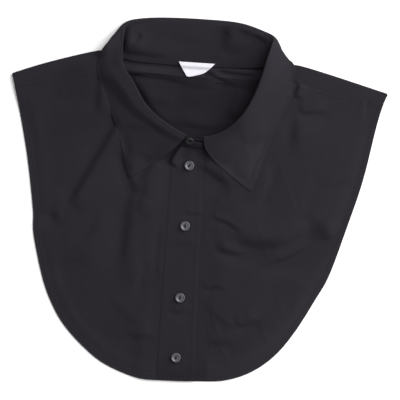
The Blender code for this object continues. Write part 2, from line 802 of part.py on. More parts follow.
def make_buttons(material, collection):
    for number, y in enumerate(BUTTON_Y, 1):
        offsets = (-BUTTON_FOOT, 0.0, BUTTON_FOOT)
        heights = [upper_band_height(BUTTON_X + dx, y + dy) for dx in offsets for dy in offsets]
        seat = Vector((BUTTON_X, y, max(heights)))
        make_button(f"front_button_{number}", seat, Vector((0, 0, 1)), material, collection)

    upper_tab = len(RING) - 2
    ring = upper_tab + (NECK_BUTTON["x"] - RING[upper_tab][0]) / TABS_APART
    here, before, after = Section(ring), Section(ring - 0.1), Section(ring + 0.1)
    up = NECK_BUTTON["up"] * here.rim
    along = after.at(up) - before.at(up)
    rise = here.at(up + 1.0) - here.at(up - 1.0)
    normal = along.cross(rise).normalized()
    if normal.y > 0:
        normal = -normal
    # The button leans forward a little more than the tab that it is on.
    normal = (normal - Vector((0.0, NECK_BUTTON["lean"], 0.0))).normalized()
    seat = here.at(up) + normal * NECK_BUTTON["stand_off"]
    make_button("neck_button", seat, normal, material, collection, NECK_BUTTON["size"])


def main():
    for obj in list(bpy.data.objects):
        bpy.data.objects.remove(obj, do_unlink=True)
    collection = bpy.data.collections.new(COLLECTION)
    bpy.context.scene.collection.children.link(collection)
    poplin = new_material("black_poplin")
    make_back(poplin, collection)
    upper_seam = UPPER_BAND["seam"] - GAP / 2
    lower_seam = LOWER_BAND["seam"] + GAP / 2
    make_front("right_front", "left", upper_seam, LEFT_CORNER_X, right_front_height, poplin, collection)
    make_front("left_front", "right", lower_seam, RIGHT_CORNER_X, front_height, poplin, collection)
    make_upper_band(poplin, collection)
    make_lower_band(poplin, collection)
    make_stand(poplin, collection)
    make_fall(poplin, collection)
    make_label(new_material("label_satin"), collection)
    make_buttons(new_material("smoke_resin"), collection)


main()
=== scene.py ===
"""Dresses the detachable shirt collar in poplin, with its folds, stitching, buttons and label.

The tables are in millimetres and the meshes in metres. x runs to the right, y towards
the neck, z up, and z = 0 is the table. The cloth pieces take the same outline, layers and
collar sections as their solids, with a thinner wall and the folds of the real cloth.
"""

import functools
import math

import bmesh
import bpy
import numpy as np
from bpy.props import FloatProperty, FloatVectorProperty, IntProperty, PointerProperty
from bpy.types import Operator, Panel, PropertyGroup
from mathutils import Matrix, Vector


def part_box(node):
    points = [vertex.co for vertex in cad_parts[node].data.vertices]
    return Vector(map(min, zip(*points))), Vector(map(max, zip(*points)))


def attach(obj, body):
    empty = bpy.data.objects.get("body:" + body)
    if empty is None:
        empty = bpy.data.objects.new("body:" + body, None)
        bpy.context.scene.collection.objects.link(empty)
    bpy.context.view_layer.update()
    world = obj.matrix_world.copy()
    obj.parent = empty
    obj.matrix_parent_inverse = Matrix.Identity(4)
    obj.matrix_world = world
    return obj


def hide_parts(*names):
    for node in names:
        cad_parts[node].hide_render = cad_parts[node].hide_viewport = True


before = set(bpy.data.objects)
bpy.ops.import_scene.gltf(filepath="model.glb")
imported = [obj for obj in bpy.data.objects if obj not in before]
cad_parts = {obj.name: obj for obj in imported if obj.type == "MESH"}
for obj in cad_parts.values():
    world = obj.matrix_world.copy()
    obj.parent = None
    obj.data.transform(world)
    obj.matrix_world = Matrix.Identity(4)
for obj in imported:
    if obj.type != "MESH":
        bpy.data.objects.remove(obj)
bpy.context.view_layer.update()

bl_info = {
    "name": "Detachable shirt collar",
    "version": (1, 0, 0),
    "blender": (4, 5, 0),
    "location": "View3D > Sidebar > Shirt collar",
    "description": "Builds a buttoned collar bib in poplin, laid flat, on its packed solids",
    "category": "Object",
}

MM = 0.001

# ---------------------------------------------------------------- tables

# The solids' walls and clearances, which set the height of each layer.
SOLID_WALL = 1.0
COLLAR_SOLID_WALL = 1.2
GAP = 0.3
LAYER_STEP = SOLID_WALL + GAP
TABLE_LEVEL = 0.5

# The cut edge of the laid garment, from the left shoulder tip round the hem to the right one.
OUTLINE = (
    (-200.3, 122.0), (-190.3, 86.0), (-178.0, 35.0), (-168.2, -20.0), (-165.6, -47.0), (-153.5, -91.0),
    (-142.0, -118.0), (-127.0, -141.0), (-104.0, -163.5), (-80.0, -180.0), (-46.0, -191.8), (-15.0, -192.8),
    (20.0, -191.3), (48.0, -188.5), (75.0, -178.0), (99.0, -159.0), (119.0, -132.0), (138.5, -96.0),
    (151.5, -69.0), (166.5, -18.0), (180.5, 35.0), (192.3, 101.0), (200.3, 128.0),
)
LEFT_CORNER_X = -127.0
RIGHT_CORNER_X = 119.0
BACK_INSET = 8.5

SHOULDER_FOLD = (
    (-201.0, 122.0), (-163.0, 136.7), (-110.5, 152.8), (-104.0, 150.0), (-96.0, 147.0), (-88.0, 145.0),
    (80.0, 145.0), (88.0, 148.5), (97.0, 151.0), (104.9, 151.6), (139.7, 143.7), (201.0, 128.0),
)
SEAM_TIP_Y = {"left": 109.0, "right": 106.5}
SEAM_RING = {"left": 18.65, "right": 5.35}
SEAM_TIP_REACH = 0.4
FOLD_RADIUS = 1.35
SHOULDER_SETTLES = (78.0, 108.0)
SHOULDER_LEVELS = 30.0

UPPER_BAND = {"seam": -25.0, "edge_at_neck": 9.0, "edge_at_hem": 16.0, "neck_end": 8.8}
LOWER_BAND = {"seam": 28.0, "edge": -17.0, "neck_end": -14.8}
CLIMB = {"length": 18.0, "before_seam": 12.0}

# The collar's sections, from the lower stand tab at the right round the back to the upper tab.
RING_COLUMNS = ("rim_x", "rim_y", "rim_z", "seam_x", "seam_y", "edge_x", "edge_y", "wrap", "roll", "bulge")
RING = (
    (-16.0, 71.8, 11.6, -15.0, 62.6, 40.0, 8.0, 0.0, 8.0, 0.0),
    (8.2, 68.3, 13.8, 9.0, 59.8, 61.0, 14.5, 0.0, 9.0, 0.0),
    (28.8, 75.4, 17.4, 35.0, 64.0, 72.5, 47.0, 0.0, 9.0, 0.0),
    (46.2, 92.2, 22.5, 60.0, 84.0, 84.5, 82.0, 0.0, 11.0, 0.0),
    (57.4, 113.6, 23.5, 75.0, 107.0, 96.0, 110.0, 0.0, 12.0, 0.0),
    (64.8, 136.3, 22.0, 81.5, 127.0, 102.5, 128.0, 0.0, 13.0, 1.0),
    (69.4, 153.8, 18.5, 82.5, 139.0, 101.5, 143.5, 0.2, 12.0, 3.2),
    (72.0, 162.6, 15.5, 79.5, 145.5, 97.0, 153.0, 0.38, 10.0, 4.8),
    (74.0, 170.4, 12.0, 73.5, 147.8, 90.0, 154.0, 0.6, 8.0, 6.6),
    (74.6, 178.5, 7.0, 67.0, 147.0, 84.0, 143.0, 0.87, 5.0, 5.0),
    (66.5, 183.9, 3.6, 58.0, 145.6, 66.0, 131.0, 1.0, 3.0, 0.5),
    (38.0, 191.8, 3.0, 38.0, 144.2, 38.0, 128.0, 1.0, 2.8, 0.0),
    (-3.0, 193.06, 3.0, -3.0, 143.0, -3.0, 127.5, 1.0, 2.8, 0.0),
    (-46.0, 191.7, 3.0, -45.0, 143.0, -46.0, 128.5, 1.0, 2.8, 0.0),
    (-73.0, 188.0, 3.4, -72.0, 144.0, -72.0, 131.0, 1.0, 3.0, 0.5),
    (-83.5, 182.5, 6.0, -82.0, 145.5, -88.5, 142.0, 0.9, 5.0, 5.0),
    (-86.3, 172.0, 9.5, -88.0, 145.0, -98.0, 152.0, 0.7, 9.0, 6.4),
    (-86.0, 164.0, 12.6, -91.0, 142.5, -105.5, 153.0, 0.45, 11.0, 5.6),
    (-85.0, 156.0, 14.6, -92.5, 138.0, -109.5, 145.0, 0.25, 12.0, 3.8),
    (-82.3, 138.0, 16.2, -92.5, 127.0, -110.0, 130.0, 0.0, 10.0, 1.0),
    (-70.0, 120.5, 16.8, -83.5, 108.0, -99.5, 105.0, 0.0, 8.0, 0.0),
    (-55.5, 98.0, 16.2, -66.0, 85.0, -88.0, 79.0, 0.0, 8.0, 0.0),
    (-35.0, 81.5, 15.8, -38.0, 65.0, -79.0, 54.0, 0.0, 8.0, 0.0),
    (-11.0, 68.7, 15.0, -9.5, 57.2, -67.5, 20.0, 0.0, 8.0, 0.0),
    (3.5, 66.0, 14.2, 9.0, 56.2, -40.0, 0.0, 0.0, 8.0, 0.0),
)
LAST_RING = len(RING) - 1.0
NECK_CENTRE = np.array((-5.0, 118.0))
BACK_RING = {"left": 15.0, "right": 9.0}
TABS_APART = 14.5
TAB_RISE = {"more": 0.42, "full": 0.6, "fades": 1.1}
# The leaves' free front edges: over how many rings each fades, how far it bows sideways, and at
# the right how far it lies flat and sinks.
RIGHT_LEAF = {"fades": 1.3, "bow": 11.0, "lies": 0.68, "sink": 8.0}
LEFT_LEAF = {"fades": 1.0, "bow": 5.0}
JOINT_BEFORE_RIM = 6.0
NECK_LAP = 1.5
NECK_CLEARANCE = 0.7
EDGE_CLEARANCE = 0.4
BAND_LIFT = {"full": 20.0, "down": 18.0}
WRAP_TURN = (0.35, 0.4)
STAND_LIFT = 0.25
STAND_LEAN = {"front": 2.0, "round": 4.5, "back": 2.4}
# How far up the stand its lower control point lies, and how far in from the edge the fall's does.
STAND_RISE = 0.35
FALL_LIES = 0.38
# The left leaf's rolled strip at each ring place: how far it is rolled, its breadth from the rim,
# and the height at which the leaf comes out of the valley beside it, with the length over which
# it then sinks.
LEFT_ROLL = (
    (17.6, 0.0, 25.0, 4.5, 34.0), (18.6, 0.6, 24.5, 4.5, 34.0), (19.3, 1.0, 23.5, 4.5, 34.0),
    (20.0, 1.0, 21.0, 5.0, 34.0), (21.0, 1.0, 15.5, 5.6, 36.0), (22.0, 0.9, 11.5, 5.8, 42.0),
    (23.0, 0.7, 9.0, 6.0, 42.0), (24.0, 0.5, 8.0, 5.0, 38.0),
)
LEFT_ROLL_DROP = (0.55, 1.35)
# How fast the strip's crown falls off, by breadth and by length.
LEFT_ROLL_CROWN = {"slope": 0.03, "round": 0.8}
# The left shoulder's share at each ring place, and how far it swells.
LEFT_SHOULDER = ((15.0, 0.0), (15.5, 1.0), (17.8, 1.0), (18.8, 0.0))
LEFT_SHOULDER_SWELL = 1.6

TUCK = {"left": -108.0, "left_full": -97.0, "right_full": 88.0, "right": 98.0}
# The line along which the tucked fall's edge lifts the back, how much it wanders, and the step.
TUCK_EDGE = {"y": 119.5, "wanders": 1.6, "rise": 5.5, "more": 0.2}

PUFF = 1.5
PUFF_LENGTH = 60.0
BAND_SETTLES = {"flat": 18.0, "rise": 35.0}
EDGE_SETTLES = 17.0
LAYER_AIR = 0.5
# How near the fronts' hollows come to the back, and the height over which they flatten out there.
FRONT_FLOOR = {"above_back": 0.62, "soft": 0.8}
# How far a leaf may sink below the level of the smoothed front, how broad the pressed edge is, and
# how much of the front's folds it follows, down and up.
LEAF_DIP = 0.95
LEAF_PRESSED = {"from": 3.0, "over": 12.0}
LEAF_FOLLOWS = (-1.2, 2.0)
# Soft unevenness by piece, as its height and its seed, and that of the fronts by its kind.
UNEVEN = {"leaves": (0.55, 23), "back": (0.35, 57), "hidden_back": (0.10, 61), "stand": (0.35, 71)}
FRONT_UNEVEN = {"rumples": 1.6, "wrinkles": 0.35, "hem_wave": 0.22}
SEEDS = {"fronts": 7, "wrinkles": 91, "hem_wave": 19, "tuck": 41, "foot": 77, "label": 83, "band_edge": 5}
# Where the fronts are free to rumple: past the cut edge, beside the bands, and the share that is
# left on the bands for each kind and taken away at the shoulders.
FRONT_FREE = {"past_edge": 22.0, "band": 8.0, "beside": 30.0, "rumples": 0.45, "wrinkles": 0.35, "firm": 0.8}
# The hairline left between a band and its front.
SEAM_PLAY = 0.02
# How far the seams' lines are pulled in so that the pieces don't share points.
SEAM_SHRINK = 0.05

# Folds of the fronts, each traced along its shaded flank. Its ridge lies on the left-hand side
# of the way it is traced. Columns: points, breadth, depth, ridge share, fade at start, fade at end.
FRONT_FOLDS = {
    "from_left_leaf": (((-82, 92), (-84, 80), (-93, 62), (-106, 36), (-120, 8), (-132, -14)),
                       6.4, 5.0, 0.55, 0.25, 0.15),
    "from_left_leaf_foot": (((-134, -8), (-148, -30), (-160, -46)), 8.0, 2.2, 0.5, 0.4, 0.4),
    "beside_left_leaf": (((-42, 44), (-50, 28), (-62, 8)), 6.5, 3.4, 0.5, 0.3, 0.3),
    "left_of_leaf_tip": (((-78, 50), (-72, 32), (-65, 14), (-55, 0)), 6.5, 4.2, 0.5, 0.25, 0.3),
    "left_of_band_upper": (((-46, 26), (-53, 0), (-57, -22)), 6.0, 2.0, 0.5, 0.3, 0.3),
    "left_of_band_outer": (((-62, 16), (-65, -10), (-67, -40), (-69, -66), (-74, -90)),
                           9.0, 4.2, 0.5, 0.25, 0.35),
    "left_of_band_low": (((-53, -110), (-50, -86), (-50, -60)), 6.0, 1.8, 0.5, 0.35, 0.35),
    "beside_band": (((-29, -22), (-31, -46), (-32, -74), (-29, -112)), 4.5, 1.2, 0.55, 0.3, 0.35),
    "left_side": (((-170, -27), (-150, -25), (-136, -28)), 7.0, 3.6, 0.5, 0.25, 0.4),
    "left_side_low": (((-150, -84), (-122, -70), (-98, -76)), 8.0, 1.8, 0.5, 0.3, 0.4),
    "left_middle": (((-92, -12), (-104, -40), (-122, -58)), 7.0, 1.8, 0.5, 0.4, 0.4),
    "left_hem_upper": (((-84, -106), (-62, -126), (-41, -141)), 6.0, 0.9, 0.5, 0.3, 0.3),
    "left_hem_lower": (((-64, -145), (-46, -148), (-30, -143)), 5.5, 2.2, 0.5, 0.35, 0.35),
    "left_hem_side": (((-122, -110), (-104, -132), (-84, -150)), 7.0, 0.6, 0.5, 0.3, 0.3),
    "pull_at_button_two": (((22, -17.5), (32, -18.5), (43, -23), (56, -30)), 2.6, 2.2, 0.5, 0.2, 0.3),
    "pull_below_button_two": (((26, -47.5), (40, -51), (56, -53), (82, -46)), 4.8, 4.2, 0.5, 0.3, 0.4),
    "right_main": (((38, -38), (70, -41), (96, -39), (120, -28), (144, -10)), 9.8, 7.6, 0.5, 0.2, 0.25),
    "right_dip": (((114, 4), (130, -12), (144, -27), (156, -36)), 14.0, 5.6, 0.5, 0.35, 0.3),
    "right_second": (((74, -68), (98, -58), (114, -50), (138, -36), (162, -18)), 7.0, 8.6, 0.5, 0.3, 0.25),
    "right_side_high": (((136, 18), (156, 30), (178, 34)), 7.0, 1.8, 0.5, 0.4, 0.3),
    "right_hem_diagonal": (((12, -104), (35, -121), (61, -136)), 6.0, 0.9, 0.5, 0.35, 0.35),
    "right_hem_spot": (((54, -131), (67, -127), (82, -119)), 4.6, 3.0, 0.5, 0.35, 0.35),
    "right_hem_low": (((20, -146), (40, -149), (60, -146)), 5.5, 2.0, 0.5, 0.35, 0.35),
    "right_of_leaf_tip": (((66, -4), (78, 20), (82, 46)), 6.0, 2.2, 0.5, 0.4, 0.3),
    "right_of_leaf_side": (((100, 118), (104, 98), (104, 76), (100, 54)), 8.5, 4.0, 0.5, 0.3, 0.35),
    "under_button_one": (((0, 40), (14, 33), (28, 25), (42, 22)), 7.5, 6.0, 0.45, 0.3, 0.3),
    "under_neck_left": (((-26, 34), (-20, 46), (-8, 53)), 4.0, 2.4, 0.5, 0.35, 0.3),
    "under_neck_right": (((-2, 54), (8, 51), (18, 42)), 4.0, 2.4, 0.5, 0.3, 0.3),
    "above_button_two": (((-10, -11), (2, -14), (15, -12)), 3.2, 1.3, 0.5, 0.35, 0.35),
    "below_button_two": (((-24, -52), (-8, -46), (10, -48)), 5.0, 1.2, 0.5, 0.35, 0.35),
    "below_button_three": (((-18, -117), (-4, -119), (10, -113)), 3.6, 1.3, 0.5, 0.35, 0.35),
    "band_pull_three": (((18, -94), (30, -90), (46, -92)), 3.6, 1.8, 0.5, 0.3, 0.4),
}
SHOULDER_FOLDS = {
    "right_shoulder": (((104, 102), (120, 102), (140, 106)), 4.4, 3.4, 0.5, 0.3, 0.4),
    "right_shoulder_notch": (((105, 134), (102.5, 126), (99.5, 118)), 3.6, 5.0, 0.5, 0.3, 0.3),
    "right_tip": (((176, 98), (177, 110), (176, 124)), 2.4, 1.1, 0.4, 0.3, 0.3),
    "left_shoulder": (((-150, 98), (-136, 103), (-120, 112)), 4.5, 1.4, 0.5, 0.35, 0.35),
    "left_of_leaf_side": (((-100, 134), (-105, 116), (-106, 98), (-102, 80)), 6.0, 3.2, 0.5, 0.3, 0.35),
}
# The hollow under the left leaf's front edge, which the leaf bridges, and the swell that hides
# its outer edge.
LEAF_GAP = {
    "under_front_edge": (((-14, 60), (-19, 53), (-24, 45), (-27.5, 36)), 4.2, 10.0, 0.5, 0.2, 0.2),
}
LEAF_SWELL = {"places": (16.0, 22.2), "sunk": 1.1, "inside": 14.0, "outside": 30.0, "shoulder": 10.0}
# Folds of the collar's leaves, and of the stand's inner face at the back.
LEAF_FOLDS = {
    "left_leaf_high": (((-88, 71), (-62, 73.5), (-34, 73)), 4.0, 1.2, 0.55, 0.35, 0.3),
    "left_leaf_low": (((-71, 44), (-60, 46), (-47, 49)), 3.5, 1.0, 0.5, 0.3, 0.35),
    "left_leaf_side": (((-101, 92), (-94, 80), (-86, 70)), 4.5, 0.8, 0.5, 0.35, 0.35),
    "right_leaf_band": (((50, 62), (62, 69), (80, 78)), 8.0, 2.8, 0.5, 0.35, 0.35),
    "right_leaf_low": (((44, 34), (58, 44), (72, 52)), 5.0, 0.8, 0.5, 0.3, 0.35),
    "right_leaf_high": (((86, 120), (80, 105), (74, 90)), 9.0, 1.2, 0.5, 0.35, 0.35),
}
STAND_FOLDS = {
    "left_column": (((-80.5, 191), (-82, 181), (-82.5, 172), (-82.5, 164), (-81.5, 155), (-80, 147)),
                    6.2, 5.6, 0.65, 0.1, 0.35),
    "left_hook": (((-66, 175), (-67, 168), (-70, 163.5), (-76, 162)), 3.0, 2.8, 0.5, 0.2, 0.35),
    "left_run": (((-85, 152), (-70, 151), (-50, 150), (-24, 150)), 6.5, 4.4, 0.6, 0.1, 0.4),
    "right_run": (((6, 150), (24, 151), (42, 150), (56, 153)), 5.0, 2.0, 0.6, 0.3, 0.35),
    "right_top": (((31, 193), (27, 187), (21, 181)), 4.0, 2.6, 0.9, 0.1, 0.35),
    "right_top_end": (((34, 187), (48, 182), (60, 176), (70, 170)), 7.0, 5.8, 0.5, 0.3, 0.2),
    "right_wide": (((20, 160), (38, 162), (60, 169)), 13.0, 6.6, 0.5, 0.3, 0.25),
    "middle": (((-30, 166), (-12, 170), (10, 167)), 6.0, 0.9, 0.5, 0.35, 0.35),
}
# Where the tucked fall prints through the back of the neck, and soft folds of the hidden back.
NECK_PRINTS = {
    "left": (((-82, 130.5), (-64, 131), (-50, 131), (-38, 130), (-24, 126.5), (-10, 125)),
             3.4, 5.8, 0.06, 0.1, 0.35),
    "right": (((4, 140), (13, 135), (22, 130.5), (34, 127), (60, 126)), 3.6, 5.4, 0.35, 0.15, 0.3),
    "right_high": (((14, 142), (30, 139.5), (46, 138.5), (64, 139)), 4.0, 4.6, 0.35, 0.2, 0.3),
    "under_stand": (((-90, 146), (-76, 144.5), (-46, 143.5), (-20, 142)), 2.4, 3.4, 0.1, 0.15, 0.2),
}
NECK_FOLDS = {
    "along_left_rim": (((-80, 134), (-67.5, 117), (-54.5, 99), (-45, 88), (-35, 80.5), (-14, 72)),
                       5.2, 3.4, 0.8, 0.15, 0.3),
    "left": (((-60, 100), (-44, 102), (-28, 96)), 7.0, 2.6, 0.6, 0.35, 0.35),
    "middle": (((-20, 96), (0, 104), (14, 112), (24, 116)), 5.0, 2.6, 0.6, 0.35, 0.35),
    "right": (((40, 124), (35, 109), (27, 95)), 8.0, 3.4, 0.9, 0.35, 0.35),
    "low": (((-24, 78), (-8, 79), (12, 77), (30, 82)), 5.0, 3.6, 0.6, 0.35, 0.35),
}
BACK_FOLDS = {
    "left_long": (((-120, 30), (-92, -20), (-84, -74)), 12.0, 0.22, 0.5, 0.3, 0.3),
    "right_long": (((118, 10), (96, -40), (54, -72)), 12.0, 0.22, 0.5, 0.3, 0.3),
    "low": (((-60, -140), (-10, -128), (44, -140)), 10.0, 0.2, 0.5, 0.3, 0.3),
}

LABEL = {
    "top": ((-24.0, 146.4), (14.5, 146.6)),
    "foot": ((-14.6, 130.1), (6.0, 136.4)),
    "rounding": 1.6,
    "on_stand_y": 139.0,
    "step": 4.0,
}
LABEL_SOLID_WALL = 0.7

# Bevels: from which angle in degrees, how wide in metres, and in how many steps.
CLOTH_EDGES = (62, 0.00016, 2)
TURNED_EDGES = (50, 0.0004, 3)
# Breadth and length of the pieces whose mesh follows the cell size, and the cells of the others.
GRID_SIZES = {"front": (172.0, 320.0), "band_upper": (41.0, 252.0), "band_lower": (45.0, 254.0)}
CELLS = {"back": (240, 190), "stand": (300, 34), "fall": (320, 56), "label": (48, 24)}
# The share of the fall's rows that lies between its joint and a little past the rim.
FALL_ROWS = {"near": 0.3, "past_rim": 7.0}

YARNS_PER_WAVE = 0.314159
# The slot's near-black colour: painted shade in the recess.
SLOT_PAINTED_SHADE_TONE = (0.004, 0.004, 0.0045)
# How much the cloth is made pale, by place, where 1 is the pale colour's full share: rubbed edges, and
# painted light on the hem's lower left and at the right leaf's start.
BAND_WEAR = 0.12
HEM_WEAR_AND_PAINTED_LIGHT = {"edge": 0.15, "painted_pale_lower_left": 0.9, "strip": 0.15}
FALL_WEAR_AND_PAINTED_LIGHT = {"edge": 0.2, "rim": 0.5, "shoulder": 0.8, "start": 0.6}

BUTTON_X = -5.2
NECK_BUTTON = {"x": -8.2, "up": 0.76, "stand_off": 1.5, "lean": 0.45, "size": 0.88}
# The inset steps of a button's face, as shares of its rim, and how far each sinks, as shares of
# its height. The slot, the holes and the thread bar are in metres.
BUTTON_STEPS = ((1.0, 0.0), (0.45, 0.2), (0.7, 0.06), (0.8, 0.03), (0.6, 0.0))
BUTTON_SLOT = {"radius": 0.001, "stretch": (0.95, 2.1, 0.75), "up": 0.74}
BUTTON_HOLE = {"radius": 0.0006, "off": 0.0011}
SHADED_SLOT = {"half_breadth": 0.001, "half_length": 0.00215, "below": 0.66}
THREAD_BAR = {"half": 0.0019, "radius": 0.0006, "up": 0.52, "sag": 0.001, "waver": 0.00008}
BUTTONHOLE_RING = {"radius": 0.00085, "purl": 0.00042, "flatter": 0.45}
# How far each front buttonhole's middle lies above its button's.
BUTTONHOLE_SHIFTS = (0.9, -1.2, 0.6, -0.4)
# How far each button's thread slot is turned from upright, the neck one first.
BUTTON_TURNS = (38.0, -22.0, 4.0, 2.0, -6.0)

# Runs of stitches: the first and last place and how many points, and their distance from the edges.
STITCH_RUNS = {
    "hem": (0.035, 0.965, 420),
    "band": (-186.0, 50.0, 160),
    "shoulder": (0.02, 0.98, 40),
    "leaf": (1.0, LAST_RING - 1.0, 520),
    "down_leaf": (0.0, 1.0, 60),
    "neck": (9.6, 14.6, 160),
}
STITCH_INSETS = {"hem": 1.0, "band_seam": 1.6, "band_edge": 5.0, "shoulder": (1.5, 5.5), "neck": 1.8}
# The row of the leaf's points at which its front edges' stitching starts.
LEAF_STITCH_ROW = 12
STAGE = {
    "lamp_size": 2.2,
    "lamp_at": (1.27, 0.83, 1.08),
    "lamp_to": (0.02, 0.0, 0.0),
    "sensor": 36.0,
    "camera_over": (0.008655, 0.001391),
    "turn": 4.0,
}


# ---------------------------------------------------------------- settings


def metres(name, text, default):
    return FloatProperty(name=name, description=text, default=default, unit="LENGTH")


def portion(name, text, default):
    return FloatProperty(name=name, description=text, default=default, min=0, max=1)


def tint(name, text, default):
    limits = {"size": 3, "min": 0, "max": 1}
    return FloatVectorProperty(name=name, description=text, default=default, subtype="COLOR", **limits)


class ClothSettings(PropertyGroup):
    wall: metres("Wall", "Thickness of one layer of poplin", 0.00045)
    folded_wall: metres("Folded wall", "Thickness of hems and bands", 0.0009)
    collar_wall: metres("Collar wall", "Thickness of the stiffened collar", 0.0010)
    hem: metres("Hem", "Breadth of the turned hem", 0.006)
    cell: metres("Cell", "Size of the cloth's mesh cells", 0.0014)
    yarn: metres("Yarn pitch", "Distance between neighbouring yarns", 0.00032)
    rumple: metres("Rumple", "Height of the soft unevenness of laid cloth", 0.0005)
    colour: tint("Colour", "Poplin colour", (0.0150, 0.0130, 0.0168))
    # Painted shade: the inner face is darkened towards black by this share.
    inside: portion("Inside", "How much darker the unrubbed inner face is", 0.16)
    # The pale colour, used both for rubbed cloth and for painted light.
    faded_and_painted_light: tint("Rubbed colour", "Poplin where it is rubbed", (0.0200, 0.0176, 0.0222))


class StitchSettings(PropertyGroup):
    pitch: metres("Pitch", "Length of one stitch with its gap", 0.0026)
    length: metres("Length", "Visible length of a stitch", 0.0020)
    breadth: metres("Breadth", "Thickness of the thread", 0.00038)
    collar_inset: metres("Collar inset", "Topstitching's distance from the collar's edge", 0.005)
    colour: tint("Colour", "Thread colour", (0.012, 0.011, 0.013))


class ButtonSettings(PropertyGroup):
    radius: metres("Radius", "Radius of a button", 0.005)
    height: metres("Height", "Height of a button", 0.0024)
    rim: metres("Rim", "Breadth of the raised rim", 0.0010)
    segments: IntProperty(name="Segments", description="Sides of the turned shape", default=40, min=12)
    hole: metres("Buttonhole", "Length of a buttonhole", 0.0125)
    # Painted shade: the neck button's resin is darkened and dulled to this share of the front buttons'.
    neck_painted_shade_tone: portion("Neck button's tone", "Its resin's tone and shine against the front buttons'", 0.3)
    colour: tint("Colour", "Smoke resin colour", (0.060, 0.058, 0.066))


class LabelSettings(PropertyGroup):
    wall: metres("Wall", "Thickness of the folded ribbon", 0.0005)
    colour: tint("Colour", "Satin colour", (0.62, 0.61, 0.66))


class StageSettings(PropertyGroup):
    floor: tint("Floor", "Floor colour", (0.90, 0.90, 0.90))
    air: FloatProperty(name="Even light", description="Strength of the light all round", default=0.52, min=0)
    key: FloatProperty(name="Key light", description="Power of the large lamp", default=84.0, unit="POWER")
    camera_height: metres("Camera height", "Camera above the table", 1.5)
    frame_width: metres("Frame width", "Breadth of the view on the table", 0.426)


# ---------------------------------------------------------------- plan curves and heights


def mix(a, b, share):
    return a + (b - a) * share


def ease(value):
    """0 below 0, 1 above 1, and a smooth step between."""
    value = np.clip(value, 0.0, 1.0)
    return value * value * (3.0 - 2.0 * value)


def catmull(rows, place):
    """Rows at fractional places, on a smooth curve through all the rows."""
    rows = np.asarray(rows, float)
    place = np.clip(np.asarray(place, float), 0.0, len(rows) - 1.0)
    start = np.minimum(place.astype(int), len(rows) - 2)
    t = (place - start)[..., None]
    a, b = rows[np.maximum(start - 1, 0)], rows[start]
    c, d = rows[start + 1], rows[np.minimum(start + 2, len(rows) - 1)]
    return 0.5 * (2 * b + (c - a) * t + (2 * a - 5 * b + 4 * c - d) * t**2 + (3 * b - a - 3 * c + d) * t**3)


def window(value, start, rise, end, fall):
    """1 between start and end, easing up over the rise and down over the fall."""
    return ease((value - start) / rise) * ease((end - value) / fall)


def within(values, line, reach):
    return (values > line.min() - reach) & (values < line.max() + reach)


def line_distance(x, y, line):
    """Each point's distance to a line, its signed side (left of the way is plus) and its share along."""
    best = np.full(np.shape(x), 1e9)
    side = np.zeros(np.shape(x))
    share = np.zeros(np.shape(x))
    steps = len(line) - 1
    for i in range(steps):
        ax, ay = line[i]
        rx, ry = line[i + 1] - line[i]
        along = np.clip(((x - ax) * rx + (y - ay) * ry) / (rx * rx + ry * ry), 0.0, 1.0)
        ox, oy = x - ax - rx * along, y - ay - ry * along
        far = np.hypot(ox, oy)
        near = far < best
        best = np.where(near, far, best)
        side = np.where(near, np.copysign(far, rx * oy - ry * ox), side)
        share = np.where(near, (i + along) / steps, share)
    return best, side, share


class Route:
    """A smooth plan curve that is read by its share of length."""

    STEPS = 10

    def __init__(self, rows):
        count = (len(rows) - 1) * self.STEPS
        self.points = catmull(rows, np.arange(count + 1) / self.STEPS)
        self.reach = np.concatenate(([0.0], np.cumsum(np.hypot(*np.diff(self.points, axis=0).T))))

    def at(self, share):
        target = np.clip(share, 0.0, 1.0) * self.reach[-1]
        return np.stack([np.interp(target, self.reach, self.points[:, i]) for i in (0, 1)], -1)

    def share_where(self, test):
        for point, reach in zip(self.points, self.reach):
            if test(*point):
                return reach / self.reach[-1]
        raise ValueError("no point of the route passes the test")

    def distance(self, x, y):
        return line_distance(x, y, self.points)[0]


EDGE = Route(OUTLINE)
FOLD_LINE = Route(SHOULDER_FOLD)


def fold_sum(folds, x, y):
    """Height of several folds: a ridge and a trough either side of the traced flank, fading at the ends."""
    total = np.zeros(np.shape(x))
    for points, breadth, depth, ridge, fade_in, fade_out in folds.values():
        line = catmull(points, np.linspace(0, len(points) - 1, 6 * (len(points) - 1) + 1))
        reach = 7.0 * breadth
        near = within(x, line[:, 0], reach) & within(y, line[:, 1], reach)
        if not near.any():
            continue
        _, side, share = line_distance(x[near], y[near], line)
        fade = ease(share / fade_in) * ease((1.0 - share) / fade_out)
        # The flank is steep and both sides run out gently, wider where the fold opens at its ends.
        steep = 0.62 * breadth * (1.0 + 0.6 * (1.0 - fade))
        share_up = mix(1.0 - ridge, ridge, ease(0.5 + 0.5 * side / steep))
        gentle = np.where(side > 0, 2.6, 1.9) * breadth
        total[near] += depth * fade * share_up * np.tanh(side / steep) * np.exp(-np.square(side / gentle))
    return total


def rumple(x, y, size, seed):
    """Smooth unevenness between -1 and 1 with waves of about the given size."""
    lattice = np.random.default_rng(seed).uniform(-1.0, 1.0, (64, 64))
    u, v = np.asarray(x) / size + 31.3, np.asarray(y) / size + 29.7
    i, j = np.floor(u).astype(int), np.floor(v).astype(int)
    s, t = ease(u - i), ease(v - j)
    i, j = i % 63, j % 63
    low = mix(lattice[i, j], lattice[i + 1, j], s)
    high = mix(lattice[i, j + 1], lattice[i + 1, j + 1], s)
    return mix(low, high, t)


def unevenness(x, y, seed):
    """Three sizes of rumple, drawn out along a slant as laid cloth is."""
    a = 0.8 * x + 0.6 * y
    b = -0.6 * x + 0.8 * y
    broad = 0.62 * rumple(a, 0.6 * b, 34.0, seed) + 0.28 * rumple(0.7 * a, b, 17.0, seed + 1)
    return broad + 0.1 * rumple(x, y, 8.0, seed + 2)


def uneven(piece, x, y):
    height, seed = UNEVEN[piece]
    return height * unevenness(x, y, seed)


